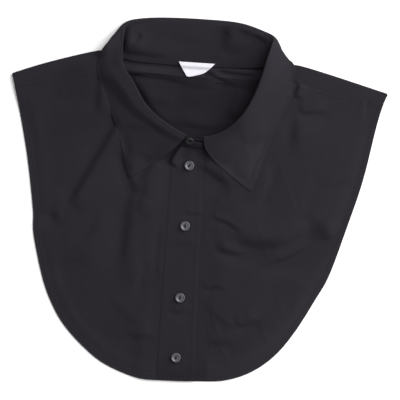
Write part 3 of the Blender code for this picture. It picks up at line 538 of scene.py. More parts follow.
def wrinkles(x, y, size, seed):
    """Low, narrow wrinkles that wander, between 0 and 1."""
    line = 1.0 - np.abs(rumple(x, y, size, seed) + 0.5 * rumple(x, y, 0.45 * size, seed + 1))
    patches = ease(rumple(x, y, 2.2 * size, seed + 2) * 1.2 + 0.4)
    return np.clip(line, 0.0, 1.0) ** 5 * patches


def near_shoulder(y):
    low, high = SHOULDER_SETTLES
    return ease((y - low) / (high - low))


def tuck_lift(x, y):
    """The step where the back's neck lies on the tucked fall."""
    left, right = TUCK["left"], TUCK["right"]
    across = window(x, left, TUCK["left_full"] - left, right, right - TUCK["right_full"])
    edge = TUCK_EDGE["y"] + TUCK_EDGE["wanders"] * rumple(x, 0 * x, 21.0, SEEDS["tuck"])
    up = ease((y - edge) / TUCK_EDGE["rise"])
    return (COLLAR_SOLID_WALL + GAP + TUCK_EDGE["more"]) * across * up


def back_height(x, y):
    return TABLE_LEVEL + tuck_lift(x, y)


def fold_centre_y(x):
    return np.interp(x, FOLD_LINE.points[:, 0], FOLD_LINE.points[:, 1]) - SOLID_WALL / 2 - FOLD_RADIUS


def front_level(x, y):
    """The fronts' height without folds, how far they settle, and the way to the cut edge."""
    off_edge = EDGE.distance(x, y)
    firm = near_shoulder(y)
    inner = ease(off_edge / PUFF_LENGTH) * (1.0 - firm)
    inner = inner * ease((np.abs(x - BUTTON_X) - BAND_SETTLES["flat"]) / BAND_SETTLES["rise"])
    shoulder = (2 * FOLD_RADIUS - LAYER_STEP) * (1.0 - ease((fold_centre_y(x) - y) / SHOULDER_LEVELS))
    level = back_height(x, y) + LAYER_STEP + np.maximum(LAYER_AIR, shoulder) + PUFF * inner
    settle = (1.0 - firm) * (1.0 - ease(off_edge / EDGE_SETTLES))
    return level, settle, off_edge


def leaf_gap(x, y):
    return fold_sum(LEAF_GAP, x, y) * (1.0 - ease((x + 21.0) / 11.0))


@functools.lru_cache(maxsize=1)
def left_leaf_edge():
    """The left leaf's outer edge high up, in plan, and how far its top stands above the front."""
    places = np.linspace(1.0, LAST_RING - 1.0, 241)
    points = leaf_folds(CollarSurface(places).points, places)
    low, high = LEAF_SWELL["places"]
    edge = points[(places >= low) & (places <= high), -1]
    walls = (cloth_settings().collar_wall - cloth_settings().wall) / MM / 2
    return edge[:, :2], edge[:, 2] + walls - front_level(edge[:, 0], edge[:, 1])[0]


def leaf_swell(x, y):
    """The rise of the front to the left leaf's outer edge, high up, where the leaf has sunk into it."""
    swell = np.zeros(np.shape(x))
    near = (x < -50) & (y > 50)
    if not near.any():
        return swell
    line, rise = left_leaf_edge()
    x, y = x[near], y[near]
    far, side, share = line_distance(x, y, line)
    top = np.interp(share, np.linspace(0.0, 1.0, len(rise)), rise)
    top = np.maximum(top, 0.0) * ease(share / 0.15) * ease((1.0 - share) / 0.25)
    outside = top * np.exp(-np.square(far / LEAF_SWELL["outside"]))
    sunk = np.minimum(top, LEAF_SWELL["sunk"])
    inside = (top - sunk) * (1.0 - ease((far - 1.5) / LEAF_SWELL["inside"])) + sunk * (1.0 - ease(far / 1.5))
    swell[near] = np.where(side < 0, outside, inside) * ease((fold_centre_y(x) - y) / LEAF_SWELL["shoulder"])
    return swell


def front_height(x, y, swell=True):
    """The fronts and the shoulder strips, with their folds."""
    x, y = np.asarray(x, float), np.asarray(y, float)
    level, settle, off_edge = front_level(x, y)
    free = ease(off_edge / FRONT_FREE["past_edge"])
    bands = ease((np.abs(x - BUTTON_X) - FRONT_FREE["band"]) / FRONT_FREE["beside"])
    firm = near_shoulder(y)
    loose = free * (1.0 - FRONT_FREE["firm"] * firm)
    folds = fold_sum(FRONT_FOLDS, x, y) * free * (1.0 - firm) + fold_sum(SHOULDER_FOLDS, x, y)
    rumples = 1000 * cloth_settings().rumple * FRONT_UNEVEN["rumples"] * unevenness(x, y, SEEDS["fronts"])
    folds = folds + rumples * loose * mix(FRONT_FREE["rumples"], 1.0, bands)
    creases = FRONT_UNEVEN["wrinkles"] * wrinkles(0.9 * x + 0.3 * y, 0.5 * y, 26.0, SEEDS["wrinkles"])
    folds = folds + creases * loose * mix(FRONT_FREE["wrinkles"], 1.0, bands)
    # A small wave along the hem, where the turned cloth is a little longer than its stitching.
    wave = FRONT_UNEVEN["hem_wave"] * rumple(x, y, 9.0, SEEDS["hem_wave"])
    folds = folds + wave * (1.0 - ease(off_edge / 16.0)) * ease(off_edge / 3.0)
    height = level + folds + leaf_gap(x, y)
    if swell:
        height = height + leaf_swell(x, y)
    floor, soft = back_height(x, y) + FRONT_FLOOR["above_back"], FRONT_FLOOR["soft"]
    held = floor + soft * np.exp(np.minimum((height - floor - soft) / soft, 0.0))
    height = np.where(height < floor + soft, held, height)
    return mix(height, TABLE_LEVEL, settle)


def upper_band_height(x, y):
    return front_height(x, y) + LAYER_STEP


def right_front_height(x, y):
    start = UPPER_BAND["seam"] - CLIMB["before_seam"] - CLIMB["length"]
    return front_height(x, y) + LAYER_STEP * ease((x - start) / CLIMB["length"])


# ---------------------------------------------------------------- the collar's surface


COLLAR_LIFT = SOLID_WALL / 2 + GAP + COLLAR_SOLID_WALL / 2


def ring_row(place):
    return dict(zip(RING_COLUMNS, np.moveaxis(catmull(RING, place), -1, 0)))


def unit(vectors):
    return vectors / np.maximum(np.linalg.norm(vectors, axis=-1, keepdims=True), 1e-9)


def band_step(x):
    return LAYER_STEP * (1.0 - ease((np.abs(x - BUTTON_X) - BAND_LIFT["full"]) / BAND_LIFT["down"]))


def over_height(x, y):
    """The middle of a collar wall that lies on the fronts, which are smoothed under it."""
    level, settle, _ = front_level(x, y)
    return mix(level, TABLE_LEVEL, settle) + band_step(x) + COLLAR_LIFT


def tuck_share(wrap):
    start, length = WRAP_TURN
    return ease((wrap - start) / length)


def seam_points(place):
    """The stand's lowest points, and the panels' neck edge beside them, in plan."""
    row = ring_row(np.asarray(place, float))
    seam = np.stack([row["seam_x"], row["seam_y"]], -1)
    out = unit(seam - NECK_CENTRE)
    wrap = np.clip(row["wrap"], 0.0, 1.0)
    lap = NECK_LAP * (1.0 - 8.0 * wrap * (1.0 - wrap))
    return seam, seam - out * lap[..., None]


def bezier(points, t):
    a, b, c, d = (p[:, None, :] for p in points)
    t = t[None, :, None]
    s = 1.0 - t
    return a * s**3 + b * (3 * s * s * t) + c * (3 * s * t * t) + d * t**3


def flat(x, y):
    return np.stack([x, y, np.zeros_like(x)], -1)


def section_controls(place):
    """The Bezier points of many collar sections: neck seam to rim, and rim to edge."""
    row = ring_row(place)
    wrap = np.clip(row["wrap"], 0.0, 1.0)
    w = wrap[:, None]
    tuck = tuck_share(wrap)
    seam = flat(row["seam_x"], row["seam_y"])
    rim = np.stack([row["rim_x"], row["rim_y"], row["rim_z"]], -1)
    edge = flat(row["edge_x"], row["edge_y"])

    band = np.where(place > len(RING) / 2, band_step(seam[:, 0]), 0.0)
    level, settle, _ = front_level(seam[:, 0], seam[:, 1])
    seam_front = mix(level, TABLE_LEVEL, settle) + band + COLLAR_LIFT + NECK_CLEARANCE
    seam[:, 2] = mix(seam_front, back_height(seam[:, 0], seam[:, 1]) + COLLAR_LIFT, tuck)
    lying = over_height(edge[:, 0], edge[:, 1]) + EDGE_CLEARANCE
    edge[:, 2] = mix(lying, COLLAR_SOLID_WALL / 2, tuck)

    ahead, behind = ring_row(place + 0.05), ring_row(place - 0.05)
    along = unit(flat(ahead["rim_x"] - behind["rim_x"], ahead["rim_y"] - behind["rim_y"]))
    out = flat(along[:, 1], -along[:, 0])
    flip = np.sum(out * (rim - np.append(NECK_CENTRE, 0.0)), 1) < 0
    out[flip] *= -1
    level_run = (edge - rim) * (1, 1, 0)
    towards = unit(level_run)
    share = ease(2 * wrap)[:, None]
    away = unit(towards * (1.0 - share) + out * share)
    turn = w * math.pi / 2
    over = away * np.cos(turn) - np.sin(turn) * (0, 0, 1)

    rise = seam + (rim - seam) * STAND_RISE
    rise[:, 2] = mix(rise[:, 2], seam[:, 2], wrap)
    from_end = LAST_RING - place - TAB_RISE["full"]
    rise[:, 2] += TAB_RISE["more"] * (1.0 - ease(from_end / TAB_RISE["fades"])) * (rim[:, 2] - seam[:, 2])
    rounder = 4.0 * w * (1.0 - w) * (STAND_LEAN["round"] - STAND_LEAN["front"])
    lean = mix(STAND_LEAN["front"], STAND_LEAN["back"], w) + rounder
    bulge = out * np.maximum(row["bulge"], 0.0)[:, None]
    free = 1.0 - ease((place - 1.0) / RIGHT_LEAF["fades"])[:, None]
    left_free = 1.0 - ease((LAST_RING - 1.0 - place) / LEFT_LEAF["fades"])[:, None]
    bow = flat(towards[:, 1], -towards[:, 0]) * (RIGHT_LEAF["bow"] * free - LEFT_LEAF["bow"] * left_free)
    lies = mix(FALL_LIES, RIGHT_LEAF["lies"], free) * np.linalg.norm(level_run, axis=1)[:, None]
    roll = rim + over * row["roll"][:, None] + bulge + bow
    lie = edge - towards * lies + bulge + bow - RIGHT_LEAF["sink"] * free * (0, 0, 1)
    return (seam, rise, rim - over * lean, rim), (rim, roll, lie, edge)


class CollarSurface:
    """The collar's middle surface, read by ring place and by length from the neck seam."""

    STEPS = 40

    def __init__(self, places):
        self.places = np.asarray(places, float)
        stand, fall = section_controls(self.places)
        t = np.linspace(0.0, 1.0, self.STEPS + 1)
        stand, fall = bezier(stand, t), bezier(fall, t)
        wrap = ring_row(self.places)["wrap"][:, None]
        self.round_left_shoulder(fall)
        self.roll_left_leaf(fall)
        lowest = np.where(wrap < 0.3, over_height(fall[..., 0], fall[..., 1]), COLLAR_SOLID_WALL / 2)
        fall[..., 2] = np.maximum(fall[..., 2], lowest)
        self.points = np.concatenate([stand, fall[:, 1:]], 1)
        steps = np.linalg.norm(np.diff(self.points, axis=1), axis=2)
        self.reach = np.concatenate([np.zeros((len(self.places), 1)), np.cumsum(steps, 1)], 1)
        self.rim = self.reach[:, self.STEPS]
        self.joint = self.rim - JOINT_BEFORE_RIM
        self.end = self.reach[:, -1]

    def round_left_shoulder(self, fall):
        """At the left end of the back the fall stays high to its outer edge, then turns down."""
        at, share = np.array(LEFT_SHOULDER).T
        share = np.interp(self.places, at, share, left=0.0, right=0.0)[:, None]
        off = np.linalg.norm((fall - fall[:, :1])[..., :2], axis=2)
        run = off / np.maximum(off.max(1, keepdims=True), 1e-6)
        top, foot = fall[:, :1, 2], fall[:, -1:, 2]
        swell = LEFT_SHOULDER_SWELL * ease(run / 0.7) * (1.0 - ease((run - 0.75) / 0.25))
        held = foot + (top - foot) * (1.0 - run**5) + swell
        fall[..., 2] = mix(fall[..., 2], np.maximum(fall[..., 2], held), share)

    def roll_left_leaf(self, fall):
        """The left leaf lies level past the rim, then drops into a valley and runs flat."""
        at, *columns = np.array(LEFT_ROLL).T
        share, breadth, height, length = (np.interp(self.places, at, column)[:, None] for column in columns)
        rim = fall[:, :1]
        off = np.linalg.norm((fall - rim)[..., :2], axis=2)
        rest = over_height(fall[..., 0], fall[..., 1]) + EDGE_CLEARANCE
        rest = rest + height * (1.0 - ease((off - 0.9 * breadth) / length))
        start, end = LEFT_ROLL_DROP
        down = ease((off / breadth - start) / (end - start))
        slope, rounding = LEFT_ROLL_CROWN["slope"], LEFT_ROLL_CROWN["round"]
        crown = rim[..., 2] - slope * off - rounding * np.square(off / breadth)
        wanted = mix(crown, rest, down)
        fall[..., 2] = mix(fall[..., 2], wanted, share * ease(off / 2.0))

    def at(self, lengths):
        """Points at lengths, one row of lengths for each place."""
        found = np.empty((*lengths.shape, 3))
        for i, row in enumerate(lengths):
            for axis in range(3):
                found[i, :, axis] = np.interp(row, self.reach[i], self.points[i, :, axis])
        return found

    def along_rim(self):
        rim = self.points[:, self.STEPS]
        return np.concatenate([[0.0], np.cumsum(np.linalg.norm(np.diff(rim, axis=0), axis=1))])


def leaf_folds(points, places):
    """Adds the leaves' folds where the fall lies on the fronts."""
    x, y, z = points[..., 0], points[..., 1], points[..., 2]
    wrap = ring_row(places)["wrap"][:, None]
    share = 1.0 - ease(wrap / 0.2)
    extra = fold_sum(LEAF_FOLDS, x, y) + uneven("leaves", x, y)
    lowest = over_height(x, y) - LEAF_DIP
    to_edge = np.linalg.norm((points - points[:, -1:])[..., :2], axis=2)
    for front_edge in (points[0], points[-1]):
        to_edge = np.minimum(to_edge, line_distance(x, y, front_edge[::4, :2])[0])
    inner = ease((to_edge - LEAF_PRESSED["from"]) / LEAF_PRESSED["over"])
    pressed = (LEAF_DIP + EDGE_CLEARANCE) * (1.0 - inner)
    pressed = pressed * (1.0 - ease((z - lowest - 1.6) / 3.0))
    following = front_height(x, y, swell=False) - front_level(x, y)[0] - leaf_gap(x, y)
    follow = np.clip(following, *LEAF_FOLLOWS) * (1.0 - ease((z - lowest - 1.0) / 4.0))
    held = np.minimum(z, lowest + follow * share)
    points[..., 2] = np.maximum(z + (extra - pressed + follow) * share, held)
    return points


# ---------------------------------------------------------------- panels in plan


def neck_table(side):
    low, high = (LAST_RING - 5.0, LAST_RING) if side == "left" else (0.0, 5.0)
    places = np.linspace(low, high, 600)
    return places, seam_points(places)[1]


NECK_TABLES = {side: neck_table(side) for side in ("left", "right")}


def neck_share(side, x):
    places, points = NECK_TABLES[side]
    return np.interp(x, points[:, 0], places)


def neck_y(side, x):
    return seam_points(neck_share(side, x))[1][..., 1]


def hem_y(x):
    bottom = EDGE.points[EDGE.points[:, 1] < 0]
    return np.interp(x, bottom[:, 0], bottom[:, 1])


def seam_line(side):
    """The shoulder seam in plan: its tip on the cut edge and its neck end."""
    if side == "left":
        tip = EDGE.at(EDGE.share_where(lambda x, y: y < SEAM_TIP_Y["left"]))
    else:
        tip = EDGE.at(EDGE.share_where(lambda x, y: x > 150 and y > SEAM_TIP_Y["right"]))
    return tip, seam_points(SEAM_RING[side])[1]


def edge_and_inward(share):
    """The cut edge at shares of its length, and the way inward there."""
    run = EDGE.at(np.minimum(share + 0.004, 1.0)) - EDGE.at(np.maximum(share - 0.004, 0.0))
    return EDGE.at(share), unit(np.stack([-run[:, 1], run[:, 0]], -1))


def coons(u, v, low, high, left, right):
    """Plan points between four edges, each read by its share."""
    one = np.ones(1)
    U, V = u[:, None], v[:, None]
    across = low(u) * (1 - V) + high(u) * V
    up = left(v) * (1 - U) + right(v) * U
    corners = low(0 * one) * (1 - U) * (1 - V) + low(one) * U * (1 - V)
    corners = corners + high(0 * one) * (1 - U) * V + high(one) * U * V
    return across + up - corners


def between(a, b, share):
    return a + (b - a) * share[:, None]


def front_plan(side, band_x, corner_x):
    """Plan of a front: a function of u (side edge to band) and v (hem to top)."""
    down = np.array((0.0, -SEAM_SHRINK))
    tip, neck = seam_line(side)
    at_seam, at_band = SEAM_RING[side], float(neck_share(side, band_x))
    tip_share = EDGE.share_where(lambda x, y: math.hypot(x - tip[0], y - tip[1]) < SEAM_TIP_REACH)
    corner_share = EDGE.share_where(lambda x, y: x > corner_x)
    band_share = EDGE.share_where(lambda x, y: x > band_x)
    foot = np.array((band_x, float(hem_y(band_x))))
    head = seam_points(at_band)[1]

    def top(u):
        seam = between(tip, neck, u / 0.5) + down
        run = np.clip((u - 0.5) / 0.5, 0.0, 1.0)
        ring = seam_points(mix(at_seam, at_band, run))[1] + down * (1 - run[:, None])
        return np.where((u < 0.5)[:, None], seam, ring)

    def hem(s):
        return np.where((s < 1)[:, None], EDGE.at(mix(corner_share, band_share, s)), foot)

    def side_edge(s):
        return np.where((s < 1)[:, None], EDGE.at(mix(corner_share, tip_share, s)), tip + down)

    def band_edge(s):
        return between(foot, head, s)

    return lambda u, v: coons(u, v, hem, top, side_edge, band_edge)


# ---------------------------------------------------------------- mesh helpers


def cloth_settings():
    return bpy.context.scene.collar_cloth


def deselect():
    for obj in bpy.context.selected_objects:
        obj.select_set(False)


def primitive(add, **values):
    """The object that an operator adds, with nothing else selected."""
    deselect()
    add(**values)
    return bpy.context.object


def pick(obj, kind, test):
    """In edit mode, selects only the vertices or the faces that pass the test."""
    bpy.ops.mesh.select_mode(type=kind)
    bpy.ops.mesh.select_all(action="DESELECT")
    shape = bmesh.from_edit_mesh(obj.data)
    for part in shape.verts if kind == "VERT" else shape.faces:
        part.select_set(bool(test(part)))
    shape.select_flush(True)
    bmesh.update_edit_mesh(obj.data)


def smooth(obj, degrees=None):
    activate(obj)
    if degrees is None:
        bpy.ops.object.shade_smooth()
    else:
        bpy.ops.object.shade_smooth_by_angle(angle=math.radians(degrees))
    return obj


def soften_edges(obj, name, degrees, width, segments):
    bevel = obj.modifiers.new(name, "BEVEL")
    bevel.limit_method = "ANGLE"
    bevel.angle_limit = math.radians(degrees)
    bevel.width = width
    bevel.segments = segments
    apply_modifiers(obj)


def activate(obj):
    deselect()
    obj.select_set(True)
    bpy.context.view_layer.objects.active = obj


def apply_modifiers(obj):
    activate(obj)
    for modifier in list(obj.modifiers):
        bpy.ops.object.modifier_apply(modifier=modifier.name)


def set_place(obj):
    """Applies the object's place, so that its shape is where its mesh is."""
    activate(obj)
    bpy.ops.object.transform_apply(location=True, rotation=True, scale=True)


def finish_piece(obj, material, slot, *nodes):
    obj.data.materials.clear()
    obj.data.materials.append(material)
    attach(obj, "root")
    if nodes:
        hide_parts(*nodes)
    return obj


def new_cloth(name, columns, rows, place, wall, walls=None, painted_light_and_wear=None):
    """A sheet: a grid laid point by point by place(u, v), given its wall and soft edges.

    place returns points and cloth coordinates in millimetres. walls is the wall at each
    point, up to wall, and painted_light_and_wear is up to 1 where the cloth is paler, from rubbing
    and from painted light, and below 0 where shade is painted on the inner face.
    """
    grid_add = bpy.ops.mesh.primitive_grid_add
    obj = primitive(grid_add, x_subdivisions=columns, y_subdivisions=rows, size=1.0, calc_uvs=True)
    obj.name = obj.data.name = name
    mesh = obj.data
    flat_points = np.empty(len(mesh.vertices) * 3, np.float32)
    mesh.vertices.foreach_get("co", flat_points)
    grid = flat_points.reshape(-1, 3).astype(float)
    u, v = np.clip(grid[:, 0] + 0.5, 0.0, 1.0), np.clip(grid[:, 1] + 0.5, 0.0, 1.0)
    points, cut = place(u, v)
    mesh.vertices.foreach_set("co", (points * MM).astype(np.float32).ravel())
    corner = np.empty(len(mesh.loops), np.int32)
    mesh.loops.foreach_get("vertex_index", corner)
    mesh.uv_layers[0].data.foreach_set("uv", (cut[corner] * MM).astype(np.float32).ravel())
    wear = np.zeros(len(u)) if painted_light_and_wear is None else painted_light_and_wear(points, u, v)
    mesh.attributes.new("wear_and_painted_light", "FLOAT", "POINT").data.foreach_set("value", wear.astype(np.float32))
    mesh.update()

    solidify = obj.modifiers.new("wall", "SOLIDIFY")
    solidify.thickness = wall
    solidify.offset = 0.0
    if walls is not None:
        group = obj.vertex_groups.new(name="wall")
        weights = np.round(np.clip(walls(points, u, v) / (wall / MM), 0.05, 1.0), 2)
        for weight in np.unique(weights):
            group.add([int(i) for i in np.nonzero(weights == weight)[0]], float(weight), "REPLACE")
        solidify.vertex_group = "wall"
    soften_edges(obj, "soft edge", *CLOTH_EDGES)
    return smooth(obj)


def route_object(line):
    """A curve object along points."""
    curve = bpy.data.curves.new("route", "CURVE")
    curve.dimensions = "3D"
    curve.twist_mode = "Z_UP"
    spline = curve.splines.new("POLY")
    spline.points.add(len(line) - 1)
    spline.points.foreach_set("co", np.c_[line, np.ones(len(line))].astype(np.float32).ravel())
    route = bpy.data.objects.new("route", curve)
    bpy.context.scene.collection.objects.link(route)
    return route


def one_stitch(settings):
    """A short length of thread, thinner where it goes into the cloth."""
    obj = primitive(
        bpy.ops.mesh.primitive_cylinder_add, vertices=6, radius=settings.breadth / 2,
        depth=settings.length, end_fill_type="TRIFAN", rotation=(0, math.pi / 2, 0),
    )
    set_place(obj)
    bpy.ops.object.mode_set(mode="EDIT")
    end = settings.length * 0.49
    pick(obj, "VERT", lambda vert: abs(vert.co.x) > end and math.hypot(vert.co.y, vert.co.z) > 1e-6)
    bpy.ops.transform.resize(value=(0.86, 0.45, 0.3))
    bpy.ops.mesh.select_all(action="SELECT")
    bpy.ops.mesh.subdivide(number_cuts=1)
    bpy.ops.transform.translate(value=(settings.pitch / 2, 0, 0))
    bpy.ops.object.mode_set(mode="OBJECT")
    return obj


def seam_stitches(name, lines):
    """Runs of stitches along lines of points: one stitch, repeated and bent along each line."""
    settings = bpy.context.scene.collar_stitch
    parts = []
    for line in lines:
        line = np.asarray(line, float) * MM
        length = float(np.linalg.norm(np.diff(line, axis=0), axis=1).sum())
        if length < 2 * settings.pitch:
            continue
        route, stitch = route_object(line), one_stitch(settings)
        repeat = stitch.modifiers.new("repeat", "ARRAY")
        repeat.count = max(2, int(length / settings.pitch))
        repeat.use_relative_offset = False
        repeat.use_constant_offset = True
        repeat.constant_offset_displace = (length / repeat.count, 0, 0)
        bend = stitch.modifiers.new("follow", "CURVE")
        bend.object = route
        bend.deform_axis = "POS_X"
        apply_modifiers(stitch)
        bpy.data.objects.remove(route)
        parts.append(stitch)
    activate(parts[0])
    for part in parts:
        part.select_set(True)
    if len(parts) > 1:
        bpy.ops.object.join()
    obj = bpy.context.object
    obj.name = obj.data.name = name
    return finish_piece(smooth(obj), thread(), "black_poplin")


# ---------------------------------------------------------------- materials


def fill(made, links, values):
    """Sets a node's inputs and settings, then links its inputs to the outputs of others."""
    for key, value in values.items():
        if key in made.inputs:
            made.inputs[key].default_value = value
        else:
            setattr(made, key, value)
    for key, output in links.items():
        made.id_data.links.new(output, made.inputs[key])
    return made


def node(tree, kind, x, y, links=None, **values):
    made = tree.nodes.new("ShaderNode" + kind)
    made.location = (x, y)
    return fill(made, links or {}, values)


def two_tones(tree, x, y, share, low, high, start=0.0, end=1.0):
    """The colour between two tones at a share that another node gives."""
    made = node(tree, "ValToRGB", x, y, {"Fac": share})
    for stop, at, colour in zip(made.color_ramp.elements, (start, end), (low, high)):
        stop.position = at
        stop.color = (*colour, 1.0)
    return made.outputs["Color"]


def toned(colour, share):
    return [min(1.0, share * c) for c in colour]


def blend_to(tree, x, y, share, colour, other):
    """A colour turned into another, plain one by a share."""
    made = node(tree, "Mix", x, y, data_type="RGBA")
    return fill(made, {"Factor": share, "A": colour}, {"B": (*other, 1.0)}).outputs["Result"]


def multiply(tree, x, y, value, by, plus=None, clamp=False):
    kind = "MULTIPLY" if plus is None else "MULTIPLY_ADD"
    made = node(tree, "Math", x, y, {0: value}, operation=kind, use_clamp=clamp)
    made.inputs[1].default_value = by
    if plus is not None:
        tree.links.new(plus, made.inputs[2])
    return made.outputs[0]


def material(name, build, *values):
    """The named material, whose nodes are built the first time."""
    made = bpy.data.materials.get(name)
    if made is None or not made.get("collar_finish"):
        made = bpy.data.materials.new(name)
        made["collar_finish"] = True
        made.use_nodes = True
        tree = made.node_tree
        build(tree, tree.nodes["Principled BSDF"], *values)
    return made


def weave_poplin(tree, shader):
    """Fine plain weave with slubs along the warp, paler rubbed edges, painted light in places and painted
    shade on the inner face.
    """
    cloth = cloth_settings()
    uv = node(tree, "UVMap", -1500, 0, uv_map="UVMap").outputs["UV"]
    scale = YARNS_PER_WAVE / cloth.yarn
    waves = [
        node(tree, "TexWave", -1100, y, {"Vector": uv}, bands_direction=way, Scale=scale * finer,
             Distortion=1.2, **{"Detail Scale": 0.4}).outputs["Fac"]
        for way, finer, y in (("X", 1.0, -300), ("Y", 0.8, -600))
    ]
    weave = node(tree, "Math", -850, -450, dict(enumerate(waves)), operation="MULTIPLY")
    drawn = node(tree, "Mapping", -1300, 250, {"Vector": uv}, Scale=(900.0, 110.0, 1.0))
    drawn = {"Vector": drawn.outputs["Vector"]}
    slubs = node(tree, "TexNoise", -1100, 250, drawn, Scale=1.0, Detail=2.0, Roughness=0.5).outputs["Fac"]
    clouds = node(tree, "TexNoise", -1100, 0, {"Vector": uv}, Scale=26.0, Detail=3.0, Roughness=0.55)

    wear_and_painted_light = node(tree, "Attribute", -1100, 500, attribute_name="wear_and_painted_light").outputs["Fac"]
    slubs_wear_and_painted_light = multiply(tree, -850, 400, slubs, 0.35, wear_and_painted_light)
    clouds_wear_and_painted_light = multiply(tree, -650, 250, clouds.outputs["Fac"], 0.45, slubs_wear_and_painted_light)
    tone = two_tones(tree, -450, 250, clouds_wear_and_painted_light, cloth.colour, cloth.faded_and_painted_light, 0.1)
    # A value below 0 is painted shade on the inner face, which is darkened towards black by that share.
    inner = multiply(tree, -450, 500, wear_and_painted_light, -1.0, clamp=True)
    tone = blend_to(tree, -200, 350, inner, tone, (0.0, 0.0, 0.0))

    yarns = node(tree, "Bump", -450, -400, {"Height": weave.outputs[0]}, Strength=0.35, Distance=0.00005)
    heights = {"Height": slubs, "Normal": yarns.outputs["Normal"]}
    grain = node(tree, "Bump", -250, -400, heights, Strength=0.25, Distance=0.00012)
    plain = {"Roughness": 0.82, "Specular IOR Level": 0.03, "Sheen Weight": 0.01, "Sheen Roughness": 0.45}
    fill(shader, {"Base Color": tone, "Normal": grain.outputs["Normal"]}, plain)


def twist_thread(tree, shader):
    """Twisted thread, with painted light and shade slanting along the ply."""
    place = {"Vector": node(tree, "TexCoord", -900, 0).outputs["Object"]}
    slant = node(tree, "TexWave", -650, 0, place, bands_direction="DIAGONAL", Scale=1100.0, Distortion=0.5)
    ply = slant.outputs["Fac"]
    colour = bpy.context.scene.collar_stitch.colour
    tone = two_tones(tree, -400, 100, ply, toned(colour, 0.7), colour)
    bump = node(tree, "Bump", -400, -200, {"Height": ply}, Strength=0.4, Distance=0.00006)
    links = {"Base Color": tone, "Normal": bump.outputs["Normal"]}
    fill(shader, links, {"Roughness": 0.7, "Specular IOR Level": 0.08})


def turn_resin(tree, shader, share):
    """Polished smoke resin, faintly clouded, with fine polishing scratches and a dull slot with painted
    shade in it. A share below 1 is painted shade that darkens and dulls the whole button.
    """
    dull_slot_painted_shade = node(tree, "Attribute", -1150, -350, attribute_name="dull_slot_painted_shade").outputs["Fac"]
    place = {"Vector": node(tree, "TexCoord", -900, 0).outputs["Object"]}
    cloud = node(tree, "TexNoise", -650, 150, place, Scale=420.0, Detail=3.0, Distortion=0.8)
    colour = bpy.context.scene.collar_button.colour
    dark, light = toned(colour, 0.75 * share), toned(colour, 1.35 * share)
    tone = two_tones(tree, -400, 150, cloud.outputs["Fac"], dark, light, 0.3, 0.75)
    links = {"Base Color": blend_to(tree, -150, 250, dull_slot_painted_shade, tone, SLOT_PAINTED_SHADE_TONE)}
    fine = node(tree, "TexNoise", -650, -150, place, Scale=2600.0, Detail=2.0).outputs["Fac"]
    spans = {
        "Roughness": (fine, 0.2, 0.34),
        "Specular IOR Level": (dull_slot_painted_shade, 0.55 * share, 0.03),
        "Coat Weight": (dull_slot_painted_shade, 0.3 * share, 0.03),
    }
    for row, (socket, (value, low, high)) in enumerate(spans.items()):
        span = node(tree, "MapRange", -400, -150 - 260 * row)
        fill(span, {"Value": value}, {"To Min": low, "To Max": high})
        links[socket] = span.outputs["Result"]
    fill(shader, links, {"Coat Roughness": 0.12})


def weave_satin(tree, shader):
    """White woven ribbon: long floats across and a soft shine."""
    uv = {"Vector": node(tree, "UVMap", -1100, 0, uv_map="UVMap").outputs["UV"]}
    floats = node(tree, "TexWave", -800, -100, uv, bands_direction="Y", Scale=1400.0, Distortion=1.5)
    cloud = node(tree, "TexNoise", -800, 200, uv, Scale=240.0, Detail=2.0)
    colour = bpy.context.scene.collar_label.colour
    tone = two_tones(tree, -500, 200, cloud.outputs["Fac"], toned(colour, 0.9), toned(colour, 1.05))
    bump = node(tree, "Bump", -500, -150, {"Height": floats.outputs["Fac"]}, Strength=0.3, Distance=0.00005)
    links = {"Base Color": tone, "Normal": bump.outputs["Normal"]}
    fill(shader, links, {"Roughness": 0.5, "Specular IOR Level": 0.35, "Sheen Weight": 0.15})


def grain_floor(tree, shader):
    """Plain paper, almost even."""
    place = node(tree, "TexCoord", -800, 0).outputs["Object"]
    grain = node(tree, "TexNoise", -600, 0, {"Vector": place}, Scale=60.0, Detail=3.0)
    colour = bpy.context.scene.collar_stage.floor
    tone = two_tones(tree, -350, 0, grain.outputs["Fac"], toned(colour, 0.985), colour)
    fill(shader, {"Base Color": tone}, {"Roughness": 0.9, "Specular IOR Level": 0.1})


def poplin():
    return material("poplin_black", weave_poplin)


def thread():
    return material("sewing_thread", twist_thread)


# ---------------------------------------------------------------- cloth pieces


def turned_wall(off, where=1.0):
    """The wall, folded where a point is nearer than the hem's breadth to the edge."""
    cloth = cloth_settings()
    turned = 1.0 - ease((off - cloth.hem / MM) / 1.6 + 0.5)
    return mix(cloth.wall, cloth.folded_wall, turned * where) / MM


def hem_walls(points, u, v):
    return turned_wall(EDGE.distance(points[:, 0], points[:, 1]))


def hem_wear_and_painted_light(points, u, v):
    off = EDGE.distance(points[:, 0], points[:, 1])
    # Rubbed paler right at the edge; the broad paling within 34 mm of the edge, growing towards the lower
    # left, is painted light.
    painted_pale_lower_left = ease((60.0 - 0.5 * points[:, 0] - points[:, 1]) / 160.0)
    return HEM_WEAR_AND_PAINTED_LIGHT["edge"] * (1.0 - ease(off / 2.4)) + HEM_WEAR_AND_PAINTED_LIGHT["painted_pale_lower_left"] * painted_pale_lower_left * (1.0 - ease(off / 34.0))


def cells(length_mm):
    return max(4, int(round(length_mm / (cloth_settings().cell / MM))))


def build_front(name, side, band_x, corner_x, height, node_name):
    plan = front_plan(side, band_x, corner_x)

    def place(u, v):
        at = plan(u if side == "left" else 1.0 - u, v)
        return np.c_[at, height(at[:, 0], at[:, 1])], at

    columns, rows = map(cells, GRID_SIZES["front"])
    obj = new_cloth(name, columns, rows, place, cloth_settings().folded_wall, hem_walls, hem_wear_and_painted_light)
    return finish_piece(obj, poplin(), "black_poplin", node_name)


